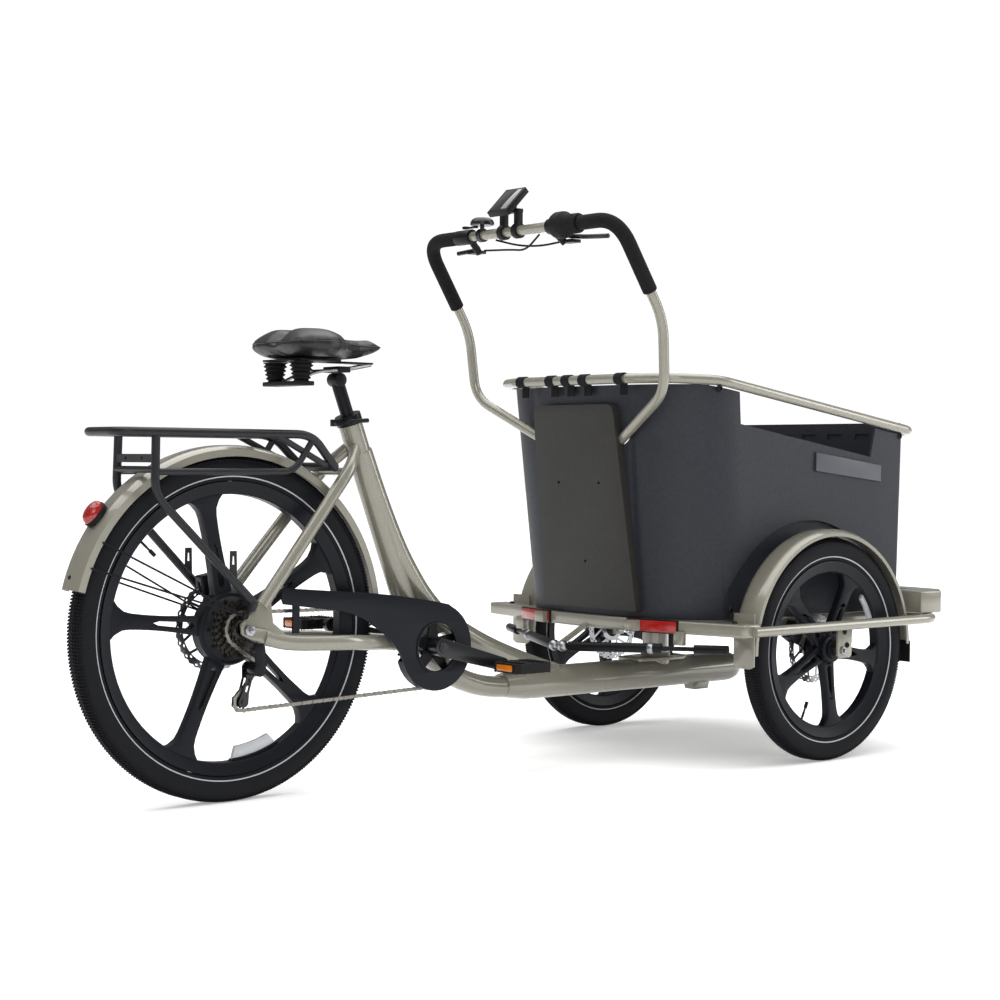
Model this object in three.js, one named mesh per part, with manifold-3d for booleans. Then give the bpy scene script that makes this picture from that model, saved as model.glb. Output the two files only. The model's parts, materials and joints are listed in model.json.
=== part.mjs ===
// A front-loading cargo tricycle: a rear frame with one driven wheel, and a front platform that
// carries the cargo box, both front wheels and the handlebar, and steers as a whole.
// Millimetres, +X to the front, +Y to the left, +Z up. Places along X are measured from the rear
// axle; the outer group moves them so that the origin is under the middle of the object.

import * as THREE from "three";
import { mergeVertices } from "three/addons/utils/BufferGeometryUtils.js";
import Module from "manifold-3d";

const wasm = await Module();
wasm.setup();

// ---- Driving dimensions -------------------------------------------------------------------

const MIDDLE_X = 702; // from the rear axle to the middle of the object's length
const REAR_OVERHANG = -345.4; // rearmost point, the tip of the rear mudguard
const GAP = 0.4; // air between two pieces that touch

const WHEELBASE = 1345;
const TRACK_HALF = 363.5;
const REAR_WHEEL_RADIUS = 338;
const FRONT_WHEEL_RADIUS = 250.5;
const TYRE_WIDTH = 50;

const BOTTOM_BRACKET = { x: 468, z: 280 };
const CRANK_LENGTH = 170;
const CRANK_TILT = THREE.MathUtils.degToRad(-15);
const CHAIN_Y = -47;
const CHAINRING_PITCH_RADIUS = 84.9; // 42 teeth of 12.7 mm pitch
const SPROCKET_PITCH_RADIUS = 32.6; // 16 teeth

const PIVOT_X = 1172; // the upright axis that the whole front turns about
const BEAM_HEIGHT = 70;
const BEAM_Z = 178;

const DECK_Z = 322; // top of the platform
const RAIL_Y = 425;
const RAIL_Z = 306;
const RAIL_RADIUS = 11;

const BOX = {
  bottom: DECK_Z + GAP,
  top: 836,
  rearTop: 912,
  rearBottom: 967,
  front: 1690,
  halfTop: 322,
  halfBottom: 308,
  wall: 6,
};

const BAR_RADIUS = 11;
const BAR_TOP = { x: 736, z: 1169 };

// ---- Materials ----------------------------------------------------------------------------

const look = (color, roughness, metalness) =>
  new THREE.MeshStandardMaterial({ color, roughness, metalness });
const PAINT = look(0xa6a18f, 0.3, 0.1);
const BLACK_METAL = look(0x1c1d21, 0.45, 0.4);
const BARE_STEEL = look(0x9a9a98, 0.3, 0.9);
const TYRE = look(0x17181a, 0.85, 0);
const CAST_WHEEL = look(0x202329, 0.5, 0.3);
const MOULDING = look(0x303236, 0.8, 0);
const FOAM = look(0x151516, 0.95, 0);
const VINYL = look(0x1b1b1c, 0.6, 0);
const RED_LENS = look(0xb01515, 0.2, 0);
const BLACK_PLASTIC = look(0x191a1c, 0.55, 0);

// ---- Geometry helpers ---------------------------------------------------------------------

const vec = (x, y, z) => new THREE.Vector3(x, y, z);

function toSolid(geometry) {
  const bare = geometry.index ? geometry.toNonIndexed() : geometry.clone();
  bare.deleteAttribute("normal");
  bare.deleteAttribute("uv");
  const merged = mergeVertices(bare, 1e-3);
  return new wasm.Manifold(
    new wasm.Mesh({
      numProp: 3,
      vertProperties: new Float32Array(merged.attributes.position.array),
      triVerts: new Uint32Array(merged.index.array),
    }),
  );
}

const SLIVER = 0.02; // edges shorter than this are merged away after a join or a cut

function toGeometry(solid) {
  const mesh = solid.simplify(SLIVER).getMesh();
  const geometry = new THREE.BufferGeometry();
  geometry.setAttribute("position", new THREE.BufferAttribute(mesh.vertProperties, 3));
  geometry.setIndex(new THREE.BufferAttribute(mesh.triVerts, 1));
  return geometry;
}

function join(...geometries) {
  const solids = geometries.map(toSolid);
  return toGeometry(solids.reduce((whole, piece) => whole.add(piece)));
}

function cut(geometry, ...tools) {
  const solids = tools.map(toSolid);
  return toGeometry(solids.reduce((whole, tool) => whole.subtract(tool), toSolid(geometry)));
}

function block(sizeX, sizeY, sizeZ, x, y, z) {
  return new THREE.BoxGeometry(sizeX, sizeY, sizeZ).translate(x, y, z);
}

// A round bar between two points.
function bar(from, to, radius, sides = 12, endRadius = radius) {
  const along = to.clone().sub(from);
  const geometry = new THREE.CylinderGeometry(endRadius, radius, along.length(), sides);
  const turn = new THREE.Quaternion().setFromUnitVectors(vec(0, 1, 0), along.clone().normalize());
  return geometry.applyQuaternion(turn).translate(...from.clone().add(to).multiplyScalar(0.5));
}

// A bar along the width of the tricycle, from one y to another.
const pin = (x, z, fromY, toY, radius, sides = 16) =>
  bar(vec(x, fromY, z), vec(x, toY, z), radius, sides);

// A route through corner points with rounded corners, sampled only where it turns.
class Route extends THREE.Curve {
  constructor(corners, bend, arcSteps = 4) {
    super();
    this.points = [];
    this.tangents = [];
    corners.forEach((corner, i) => {
      const before = corners[i - 1];
      const after = corners[i + 1];
      if (!before || !after) {
        const tangent = before ? corner.clone().sub(before) : after.clone().sub(corner);
        this.add(corner, tangent);
        return;
      }
      const back = Math.min(bend, corner.distanceTo(before) * 0.48);
      const ahead = Math.min(bend, corner.distanceTo(after) * 0.48);
      const start = corner.clone().add(before.clone().sub(corner).setLength(back));
      const end = corner.clone().add(after.clone().sub(corner).setLength(ahead));
      const arc = new THREE.QuadraticBezierCurve3(start, corner, end);
      for (let k = 0; k <= arcSteps; k++) {
        this.add(arc.getPoint(k / arcSteps), arc.getTangent(k / arcSteps));
      }
    });
  }
  add(point, tangent) {
    this.points.push(point.clone());
    this.tangents.push(tangent.clone().normalize());
  }
  get steps() {
    return this.points.length - 1;
  }
  getPoint(t) {
    return this.points[Math.round(t * this.steps)].clone();
  }
  getPointAt(t) {
    return this.getPoint(t);
  }
  getTangentAt(t) {
    return this.tangents[Math.round(t * this.steps)].clone();
  }
}

function circle(radius, sides = 10, x = 0, y = 0) {
  const shape = new THREE.Shape();
  for (let k = 0; k < sides; k++) {
    const angle = (2 * Math.PI * k) / sides;
    const point = [x + radius * Math.cos(angle), y + radius * Math.sin(angle)];
    if (k) shape.lineTo(...point);
    else shape.moveTo(...point);
  }
  shape.closePath();
  return shape;
}

// Across an upright route, the section's first axis lies along Y and its second across the route.
function ellipse(halfWidth, halfHeight, sides = 10) {
  const points = circle(1, sides).getPoints();
  points.pop();
  return new THREE.Shape(points.map((p) => new THREE.Vector2(p.x * halfWidth, p.y * halfHeight)));
}

function sweep(section, route) {
  return new THREE.ExtrudeGeometry(section, {
    extrudePath: route,
    steps: route.steps,
    curveSegments: 1,
    bevelEnabled: false,
  });
}

function tube(corners, radius, bend = 40, sides = 10, arcSteps = 4) {
  return sweep(circle(radius, sides), new Route(corners, bend, arcSteps));
}

// A plate that stands in the XZ plane: its outline is drawn in x and z, and fromY < toY.
function upright(shape, fromY, toY, curveSegments = 6) {
  const geometry = new THREE.ExtrudeGeometry(shape, {
    depth: toY - fromY,
    curveSegments,
    bevelEnabled: false,
  });
  return geometry.rotateX(Math.PI / 2).translate(0, toY, 0);
}

// A plate that lies flat: its outline is drawn in x and y.
function flat(shape, fromZ, toZ, curveSegments = 6) {
  const geometry = new THREE.ExtrudeGeometry(shape, {
    depth: toZ - fromZ,
    curveSegments,
    bevelEnabled: false,
  });
  return geometry.translate(0, 0, fromZ);
}

const outline = (...points) => new THREE.Shape(points.map(([x, y]) => new THREE.Vector2(x, y)));

// A turned piece about the Y axis. Its section [radius, y] runs anticlockwise.
function turned(section, segments, x, z) {
  const points = section.map(([radius, y]) => new THREE.Vector2(radius, y));
  return new THREE.LatheGeometry(points, segments).translate(x, 0, z);
}

const group = new THREE.Group();
group.position.x = -MIDDLE_X;

function piece(name, geometry, material) {
  const mesh = new THREE.Mesh(geometry, material);
  mesh.name = name;
  group.add(mesh);
}

const mirrored = (point, side) => vec(point.x, point.y * side, point.z);
const SIDES = [
  ["right", -1],
  ["left", 1],
];

// ---- Wheels -------------------------------------------------------------------------------

function tyre(radius, y, x, z) {
  const half = TYRE_WIDTH / 2;
  const bead = radius - 52;
  const section = [
    [bead, y - 17],
    [bead + 24, y - half],
    [radius - 6, y - 13],
    [radius, y],
    [radius - 6, y + 13],
    [bead + 24, y + half],
    [bead, y + 17],
    [bead, y - 17],
  ];
  return turned(section, 32, x, z);
}

// One spoke of the cast wheel along +X, flaring where it meets the rim.
function spoke(hubRadius, rimRadius, fromY, toY) {
  const half = 17;
  const shape = new THREE.Shape();
  shape.moveTo(hubRadius, -half);
  shape.lineTo(rimRadius - 32, 3 - half);
  shape.lineTo(rimRadius, -half - 16);
  shape.lineTo(rimRadius + 6, 0);
  shape.lineTo(rimRadius, half + 16);
  shape.lineTo(rimRadius - 32, half - 3);
  shape.lineTo(hubRadius, half);
  shape.closePath();
  return upright(shape, fromY, toY);
}

function castWheel({ radius, y, x, z, hubRadius, hubBore, hubFrom, hubTo, firstSpoke }) {
  const rimOuter = radius - 52 - GAP;
  const rimInner = rimOuter - 24;
  const section = [
    [rimInner, y - 13],
    [rimOuter, y - 20],
    [rimOuter, y + 20],
    [rimInner, y + 13],
    [rimInner, y - 13],
  ];
  const hub = [
    [hubBore, hubFrom],
    [hubRadius, hubFrom],
    [hubRadius, hubTo],
    [hubBore, hubTo],
    [hubBore, hubFrom],
  ];
  const spokes = [];
  for (let k = 0; k < 5; k++) {
    const angle = THREE.MathUtils.degToRad(firstSpoke) + (2 * Math.PI * k) / 5;
    spokes.push(spoke(hubRadius - 5, rimInner, y - 11, y + 11).rotateY(-angle));
  }
  const parts = [turned(section, 32, 0, 0), turned(hub, 20, 0, 0), ...spokes];
  return join(...parts).translate(x, 0, z);
}

// A brake disc with wide windows between its arms.
function rotor(radius, bore, y, x, z) {
  const shape = circle(radius, 25);
  const arms = 5;
  for (let k = 0; k < arms; k++) {
    const window = new THREE.Path();
    const from = (2 * Math.PI * (k + 0.12)) / arms;
    const to = (2 * Math.PI * (k + 0.88)) / arms;
    window.absarc(0, 0, radius - 17, from, to, false);
    window.absarc(0, 0, bore + 13, to, from, true);
    window.closePath();
    shape.holes.push(window);
  }
  shape.holes.push(circle(bore, 12));
  return upright(shape, y - 1, y + 1, 2).translate(x, 0, z);
}

const REAR_HUB_RADIUS = 64;
piece("rear_tyre", tyre(REAR_WHEEL_RADIUS, 0, 0, REAR_WHEEL_RADIUS), TYRE);
piece(
  "rear_rim",
  castWheel({
    radius: REAR_WHEEL_RADIUS,
    y: 0,
    x: 0,
    z: REAR_WHEEL_RADIUS,
    hubRadius: REAR_HUB_RADIUS + 8,
    hubBore: REAR_HUB_RADIUS + 1,
    hubFrom: -16,
    hubTo: 16,
    firstSpoke: 30,
  }),
  CAST_WHEEL,
);
piece(
  "rear_hub",
  turned(
    [
      [8, -28],
      [40, -28],
      [REAR_HUB_RADIUS, -18],
      [REAR_HUB_RADIUS, 18],
      [48, 40],
      [8, 40],
      [8, -28],
    ],
    20,
    0,
    REAR_WHEEL_RADIUS,
  ),
  BLACK_METAL,
);
piece("rear_rotor", rotor(90, 22, 43, 0, REAR_WHEEL_RADIUS), BARE_STEEL);
piece("rear_axle", pin(0, REAR_WHEEL_RADIUS, -84, 84, 7), BARE_STEEL);

for (const [side, s] of SIDES) {
  const y = TRACK_HALF * s;
  const wheel = {
    radius: FRONT_WHEEL_RADIUS,
    y,
    x: WHEELBASE,
    z: FRONT_WHEEL_RADIUS,
    hubRadius: 30,
    hubBore: 9,
    hubFrom: Math.min(y - 33 * s, y + 26 * s),
    hubTo: Math.max(y - 33 * s, y + 26 * s),
    firstSpoke: -10,
  };
  piece(`front_tyre_${side}`, tyre(FRONT_WHEEL_RADIUS, y, WHEELBASE, FRONT_WHEEL_RADIUS), TYRE);
  piece(`front_rim_${side}`, castWheel(wheel), CAST_WHEEL);
  piece(
    `front_rotor_${side}`,
    rotor(80, 22, y - 35 * s, WHEELBASE, FRONT_WHEEL_RADIUS),
    BARE_STEEL,
  );
}

// ---- Rear frame ---------------------------------------------------------------------------

const SEAT_TUBE_TOP = vec(292, 0, 740);
const SEAT_TUBE_BORE = 14;
const BB = vec(BOTTOM_BRACKET.x, 0, BOTTOM_BRACKET.z);
const SEAT_AXIS = SEAT_TUBE_TOP.clone().sub(BB).normalize();
const onSeatAxis = (distance) => SEAT_TUBE_TOP.clone().addScaledVector(SEAT_AXIS, distance);

function mainFrame() {
  const swoopRoute = new Route(
    [
      vec(318, 0, 680),
      vec(392, 0, 505),
      vec(480, 0, 372),
      vec(600, 0, 290),
      vec(740, 0, 230),
      vec(860, 0, 190),
    ],
    60,
    2,
  );
  const lowerRoute = new Route(
    [BB.clone(), vec(560, 0, 212), vec(660, 0, 176), vec(800, 0, 170)],
    60,
    2,
  );
  const parts = [
    sweep(ellipse(26, 24), new Route([onSeatAxis(0), BB.clone()], 1)),
    sweep(ellipse(28, 25), swoopRoute),
    sweep(ellipse(28, 23), lowerRoute),
    sweep(ellipse(42, BEAM_HEIGHT / 2, 14), new Route([vec(740, 0, BEAM_Z), vec(1400, 0, BEAM_Z)], 1)),
    sweep(ellipse(38, 30, 10), new Route([vec(700, 0, 182), vec(840, 0, BEAM_Z)], 1)),
    bar(vec(1400, 0, BEAM_Z), vec(1432, 0, BEAM_Z + 2), 35, 12, 24),
    pin(BB.x, BB.z, -36, 36, 24, 14),
    bar(vec(PIVOT_X, 0, 190), vec(PIVOT_X, 0, 224), 34, 14),
    bar(vec(PIVOT_X, 0, 200), vec(PIVOT_X, 0, 318), 14, 12),
    block(60, 30, 20, 1310, 0, 140),
  ];
  for (const [, s] of SIDES) {
    parts.push(
      tube(
        [vec(300, 10 * s, 690), vec(262, 44 * s, 655), vec(30, 70 * s, 380)],
        12,
        40,
        8,
        2,
      ),
      tube(
        [
          vec(14, 71 * s, 340),
          vec(100, 71 * s, 312),
          vec(262, 67 * s, 300),
          vec(385, 29 * s, 290),
          vec(460, 29 * s, 284),
        ],
        13,
        40,
        8,
        2,
      ),
      pin(0, REAR_WHEEL_RADIUS, 66 * s, 76 * s, 22, 12),
      upright(
        outline([-6, 322], [24, 312], [70, 312], [60, 345], [52, 398], [28, 392], [-8, 356]),
        Math.min(67 * s, 75 * s),
        Math.max(67 * s, 75 * s),
      ),
    );
  }
  parts.push(pin(248, 643, -50, 50, 8, 8));
  const whole = join(...parts);
  return cut(
    whole,
    bar(onSeatAxis(-300), onSeatAxis(5), SEAT_TUBE_BORE, 16),
    pin(BB.x, BB.z, -50, 50, 11),
    pin(0, REAR_WHEEL_RADIUS, -90, 90, 7 + GAP),
  );
}
piece("main_frame", mainFrame(), PAINT);
piece(
  "steering_bearing",
  new THREE.LatheGeometry(
    [
      [15, 224.4],
      [33, 224.4],
      [33, 230],
      [15, 230],
      [15, 224.4],
    ].map(([r, z]) => new THREE.Vector2(r, z)),
    24,
  )
    .rotateX(Math.PI / 2)
    .translate(PIVOT_X, 0, 0),
  BARE_STEEL,
);

// A mudguard section: a flat crown with two sloping shoulders and straight lips.
function fenderSection(half, lip) {
  const wall = 3;
  return outline(
    [-half, -lip],
    [-half + wall, -lip],
    [-half + wall, -9],
    [-half + 14, -wall],
    [half - 14, -wall],
    [half - wall, -9],
    [half - wall, -lip],
    [half, -lip],
    [half, -7],
    [half - 13, 0],
    [13 - half, 0],
    [-half, -7],
  );
}

function arcRoute(x, y, z, radius, fromDegrees, toDegrees, steps) {
  const route = new Route([], 1);
  for (let k = 0; k <= steps; k++) {
    const angle = THREE.MathUtils.degToRad(
      THREE.MathUtils.lerp(fromDegrees, toDegrees, k / steps),
    );
    const along = Math.sign(toDegrees - fromDegrees);
    route.add(
      vec(x + radius * Math.cos(angle), y, z + radius * Math.sin(angle)),
      vec(-Math.sin(angle) * along, 0, Math.cos(angle) * along),
    );
  }
  return route;
}

// The mudguard's section has +y away from the axle when its arc runs from front to rear.
function rearFender() {
  const parts = [
    sweep(fenderSection(32, 22), arcRoute(0, 0, REAR_WHEEL_RADIUS, 356, 4, 166, 16)),
  ];
  for (const [, s] of SIDES) {
    for (const angle of [150, 158]) {
      const a = THREE.MathUtils.degToRad(angle);
      parts.push(
        bar(
          vec(335 * Math.cos(a), 31.5 * s, REAR_WHEEL_RADIUS + 335 * Math.sin(a)),
          vec(-10, 78 * s, 366),
          2,
          6,
        ),
      );
    }
    parts.push(pin(-10, 366, 76.6 * s, 84 * s, 6, 8));
  }
  return join(...parts);
}
piece("rear_fender", rearFender(), PAINT);

function rearRack() {
  const railZ = 716;
  const railY = 70;
  const parts = [
    block(6, 2 * railY, 16, -204, 0, 667),
    pin(-204, 646, -railY, railY, 6, 8),
    pin(60, railZ - 1, -railY, railY, 6, 8),
    pin(214, 652, -58, 58, 9, 8),
    block(20, 26, 8, 230, 0, 652),
  ];
  const halfRoute = (s) => [
    vec(-275, 0, railZ),
    vec(-275, railY * s, railZ),
    vec(150, railY * s, railZ),
    vec(214, 58 * s, 652),
  ];
  for (const [, s] of SIDES) {
    const legY = (railY + 2) * s;
    parts.push(
      tube(halfRoute(s), 8, 36, 6, 2),
      tube(
        [vec(-200, railY * s, railZ), vec(-202, legY, 600), vec(8, 82 * s, 392)],
        8,
        26,
        6,
        2,
      ),
      tube(
        [vec(-202, railY * s, 642), vec(108, railY * s, 643), vec(156, railY * s, railZ - 6)],
        6,
        24,
        6,
        2,
      ),
      bar(vec(66, railY * s, railZ), vec(186, 62 * s, 656), 6, 8),
      bar(vec(8, 82 * s, 392), vec(2, 82 * s, 378), 10, 8),
      upright(
        outline([-46, 440], [-30, 440], [-31, 492], [-45, 492]),
        Math.min(80 * s, 84 * s),
        Math.max(80 * s, 84 * s),
      ),
    );
  }
  return join(...parts);
}
piece("rear_rack", rearRack(), BLACK_METAL);

function tailLight() {
  const angle = THREE.MathUtils.degToRad(142);
  const at = (radius) =>
    vec(radius * Math.cos(angle), 0, REAR_WHEEL_RADIUS + radius * Math.sin(angle));
  return bar(at(356.4), at(384), 26, 16, 19);
}
piece("tail_light", tailLight(), RED_LENS);

function chainGuard() {
  const disc = 88;
  const shape = new THREE.Shape();
  shape.moveTo(86, 416);
  shape.lineTo(300, 398);
  shape.quadraticCurveTo(400, 388, BB.x + 30, BB.z + disc - 3);
  shape.absarc(BB.x, BB.z, disc, THREE.MathUtils.degToRad(70), -Math.PI * 0.86, true);
  shape.quadraticCurveTo(345, 300, 300, 332);
  shape.quadraticCurveTo(262, 362, 200, 368);
  shape.lineTo(86, 384);
  shape.quadraticCurveTo(76, 400, 86, 416);
  shape.holes.push(circle(48, 24, BB.x, BB.z));
  return join(
    upright(shape, -69, -65, 6),
    block(16, 4, 62, 118, -67, 357),
  );
}
piece("chain_guard", chainGuard(), BLACK_PLASTIC);

// ---- Drive --------------------------------------------------------------------------------

const GUIDE_PULLEY = { x: 22, z: 262, radius: 17 };
const TENSION_PULLEY = { x: 4, z: 198, radius: 17 };

// A point of the loop where a straight run leaves one wheel for the next. turn is 1 where the
// loop runs anticlockwise around the wheel and -1 where it runs clockwise.
function tangentPoints(from, to) {
  const dx = to.x - from.x;
  const dz = to.z - from.z;
  const distance = Math.hypot(dx, dz);
  const direction = Math.atan2(dz, dx);
  const lean = Math.asin((from.turn * from.radius - to.turn * to.radius) / distance);
  const normal = direction - Math.PI / 2 + lean;
  const touch = (wheel) => ({
    x: wheel.x + wheel.turn * wheel.radius * Math.cos(normal),
    z: wheel.z + wheel.turn * wheel.radius * Math.sin(normal),
  });
  return [touch(from), touch(to)];
}

function loopAround(wheels, offset) {
  const grown = wheels.map((w) => ({ ...w, radius: w.radius + offset * w.turn }));
  const count = grown.length;
  const points = [];
  grown.forEach((wheel, i) => {
    const [, arrive] = tangentPoints(grown[(i + count - 1) % count], wheel);
    const [leave] = tangentPoints(wheel, grown[(i + 1) % count]);
    const start = Math.atan2(arrive.z - wheel.z, arrive.x - wheel.x);
    let sweepAngle = Math.atan2(leave.z - wheel.z, leave.x - wheel.x) - start;
    while (sweepAngle * wheel.turn < 0) sweepAngle += 2 * Math.PI * wheel.turn;
    const steps = Math.max(3, Math.ceil(Math.abs(sweepAngle) / 0.35));
    for (let k = 0; k <= steps; k++) {
      const angle = start + (sweepAngle * k) / steps;
      points.push([
        wheel.x + wheel.radius * Math.cos(angle),
        wheel.z + wheel.radius * Math.sin(angle),
      ]);
    }
  });
  return points;
}

function chain() {
  const wheels = [
    { x: BB.x, z: BB.z, radius: CHAINRING_PITCH_RADIUS, turn: 1 },
    { x: 0, z: REAR_WHEEL_RADIUS, radius: SPROCKET_PITCH_RADIUS, turn: 1 },
    { ...GUIDE_PULLEY, turn: -1 },
    { ...TENSION_PULLEY, turn: 1 },
  ];
  const shape = outline(...loopAround(wheels, 4));
  shape.holes.push(outline(...loopAround(wheels, -4)));
  return upright(shape, CHAIN_Y - 3, CHAIN_Y + 3);
}
piece("chain", chain(), BARE_STEEL);

function cassette() {
  const low = SPROCKET_PITCH_RADIUS - 5;
  const steps = [
    [54, -30],
    [54, -33],
    [40, -42.5],
    [low, -43.5],
    [low, -50.5],
    [23, -52],
    [23, -58],
  ];
  const section = [[12, -58], ...steps.reverse(), [12, -30], [12, -58]];
  return turned(section, 20, 0, REAR_WHEEL_RADIUS);
}
piece("cassette", cassette(), BARE_STEEL);

function chainring() {
  const shape = circle(CHAINRING_PITCH_RADIUS - 7, 30);
  shape.holes.push(circle(58, 24));
  return upright(shape, CHAIN_Y - 2, CHAIN_Y + 2).translate(BB.x, 0, BB.z);
}

function crankArm(s) {
  const from = 76 * s;
  const to = 90 * s;
  const shape = new THREE.Shape();
  shape.absarc(0, 0, 19, Math.PI / 2, 1.5 * Math.PI, false);
  shape.absarc(CRANK_LENGTH, 0, 14, -Math.PI / 2, Math.PI / 2, false);
  shape.closePath();
  const turn = s < 0 ? -CRANK_TILT : Math.PI - CRANK_TILT;
  return upright(shape, Math.min(from, to), Math.max(from, to))
    .rotateY(turn)
    .translate(BB.x, 0, BB.z);
}

function spider() {
  const arms = [];
  for (let k = 0; k < 5; k++) {
    arms.push(block(66, 4, 15, 33, CHAIN_Y - 5, 0).rotateY((2 * Math.PI * k) / 5 + 0.3));
  }
  return join(...arms).translate(BB.x, 0, BB.z);
}

piece("chainring", chainring(), BLACK_METAL);
piece(
  "crank_right",
  join(crankArm(-1), spider(), pin(BB.x, BB.z, -90, -44, 18), pin(BB.x, BB.z, -60, 74, 10)),
  BLACK_METAL,
);
piece("crank_left", join(crankArm(1), pin(BB.x, BB.z, 75, 92, 17)), BLACK_METAL);

const pedalCentre = (s) =>
  vec(
    BB.x - s * CRANK_LENGTH * Math.cos(CRANK_TILT),
    150 * s,
    BB.z - s * CRANK_LENGTH * Math.sin(CRANK_TILT),
  );
for (const [side, s] of SIDES) {
  const centre = pedalCentre(s);
  const body = cut(
    block(98, 86, 22, centre.x, centre.y, centre.z),
    block(24, 62, 30, centre.x + 24, centre.y, centre.z),
    block(24, 62, 30, centre.x - 24, centre.y, centre.z),
  );
  const spindle = pin(centre.x, centre.z, 90.5 * s, 112 * s, 7, 12);
  piece(`pedal_${side}`, join(body, spindle), BLACK_PLASTIC);
}

const CAGE_Y = { inner: -40.5, outer: -53.5 };

function derailleur() {
  return join(
    pin(20, 302, -88, -76.6, 12, 12),
    upright(outline([8, 308], [32, 308], [38, 268], [16, 262]), -86, -79),
    pin(GUIDE_PULLEY.x, GUIDE_PULLEY.z, -86, -58.5, 14, 12),
  );
}
piece("derailleur", derailleur(), BLACK_METAL);

function derailleurCage() {
  const plate = new THREE.Shape();
  plate.absarc(GUIDE_PULLEY.x, GUIDE_PULLEY.z, 12, 0, Math.PI, false);
  plate.absarc(TENSION_PULLEY.x, TENSION_PULLEY.z, 12, Math.PI, 2 * Math.PI, false);
  plate.closePath();
  return join(
    upright(plate, CAGE_Y.outer - 2, CAGE_Y.outer, 4),
    upright(plate, CAGE_Y.inner, CAGE_Y.inner + 2, 4),
    pin(GUIDE_PULLEY.x, GUIDE_PULLEY.z, -58, -40, 3.5, 10),
    pin(TENSION_PULLEY.x, TENSION_PULLEY.z, -55, -40, 3.5, 10),
  );
}
piece("derailleur_cage", derailleurCage(), BLACK_METAL);

for (const [name, pulley] of [
  ["guide_pulley", GUIDE_PULLEY],
  ["tension_pulley", TENSION_PULLEY],
]) {
  const outer = pulley.radius - 5;
  const section = [
    [4, -50],
    [outer, -50],
    [outer, -44],
    [4, -44],
    [4, -50],
  ];
  piece(name, turned(section, 16, pulley.x, pulley.z), BLACK_PLASTIC);
}

// A brake caliper over the rim of a disc, at an angle around the axle from straight ahead.
function caliper(x, y, z, discRadius, degrees) {
  const body = block(40, 26, 44, discRadius - 4, 0, 0);
  const slot = block(40, 6, 60, discRadius - 17, 0, 0);
  return cut(body, slot)
    .rotateY(-THREE.MathUtils.degToRad(degrees))
    .translate(x, y, z);
}
piece("rear_caliper", caliper(0, 43, REAR_WHEEL_RADIUS, 90, 100), BLACK_METAL);

// ---- Saddle -------------------------------------------------------------------------------

const POST_TOP = onSeatAxis(95);
piece(
  "seat_post",
  join(
    bar(onSeatAxis(-230), POST_TOP, SEAT_TUBE_BORE - GAP, 16),
    pin(POST_TOP.x, POST_TOP.z, -16, 16, 14, 12),
  ),
  BLACK_METAL,
);
piece(
  "seat_clamp",
  cut(
    join(
      bar(onSeatAxis(0.5), onSeatAxis(20), 27, 20),
      block(22, 14, 14, onSeatAxis(10).x - 30, 0, onSeatAxis(10).z - 8),
    ),
    bar(onSeatAxis(-5), onSeatAxis(30), SEAT_TUBE_BORE + 0.1, 16),
  ),
  BLACK_METAL,
);
const CLAMP_PIVOT = vec(onSeatAxis(10).x - 34, 0, onSeatAxis(10).z - 8);
piece(
  "seat_clamp_lever",
  join(
    pin(CLAMP_PIVOT.x, CLAMP_PIVOT.z, -20, -7.5, 8, 12),
    tube(
      [
        vec(CLAMP_PIVOT.x, -15, CLAMP_PIVOT.z),
        vec(CLAMP_PIVOT.x + 12, -32, CLAMP_PIVOT.z + 3),
        vec(CLAMP_PIVOT.x + 58, -34, CLAMP_PIVOT.z + 6),
      ],
      4.5,
      12,
      8,
      3,
    ),
  ),
  BLACK_METAL,
);

const SADDLE = { rear: 100, nose: 372, under: 868, top: 926 };

function saddleBase() {
  const clampZ = POST_TOP.z + 14.5 + 6;
  const parts = [
    block(30, 56, 12, POST_TOP.x, 0, clampZ),
    block(110, 150, 6, 170, 0, 863),
    block(150, 34, 6, 285, 0, 863),
    block(34, 130, 8, 140, 0, 818),
  ];
  for (const [, s] of SIDES) {
    parts.push(
      bar(vec(140, 46 * s, 818), vec(140, 46 * s, 861), 25, 14),
      tube(
        [
          vec(140, 24 * s, 818),
          vec(190, 22 * s, clampZ - 6),
          vec(270, 22 * s, clampZ),
          vec(335, 10 * s, 861),
        ],
        3.5,
        20,
        8,
        2,
      ),
    );
  }
  return join(...parts);
}
piece("saddle_base", saddleBase(), BLACK_PLASTIC);

function saddleCushion() {
  const shape = new THREE.Shape();
  shape.moveTo(SADDLE.nose, 0);
  shape.quadraticCurveTo(SADDLE.nose, 26, SADDLE.nose - 40, 28);
  shape.bezierCurveTo(270, 34, 250, 110, 170, 126);
  shape.quadraticCurveTo(90, 132, SADDLE.rear, 40);
  shape.lineTo(SADDLE.rear + 12, 0);
  shape.lineTo(SADDLE.rear, -40);
  shape.quadraticCurveTo(90, -132, 170, -126);
  shape.bezierCurveTo(250, -110, 270, -34, SADDLE.nose - 40, -28);
  shape.quadraticCurveTo(SADDLE.nose, -26, SADDLE.nose, 0);
  return flat(shape, SADDLE.under, SADDLE.top, 6);
}
piece("saddle_cushion", saddleCushion(), VINYL);

// ---- Front platform -----------------------------------------------------------------------

const FRONT_MEMBER_X = 1684;
const REAR_MEMBER_END = vec(1020, 421, RAIL_Z + 3);
const STRUT_INNER = vec(866, 0, 256);
const STRUT_GUIDE = vec(986, 262, 262);

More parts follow.
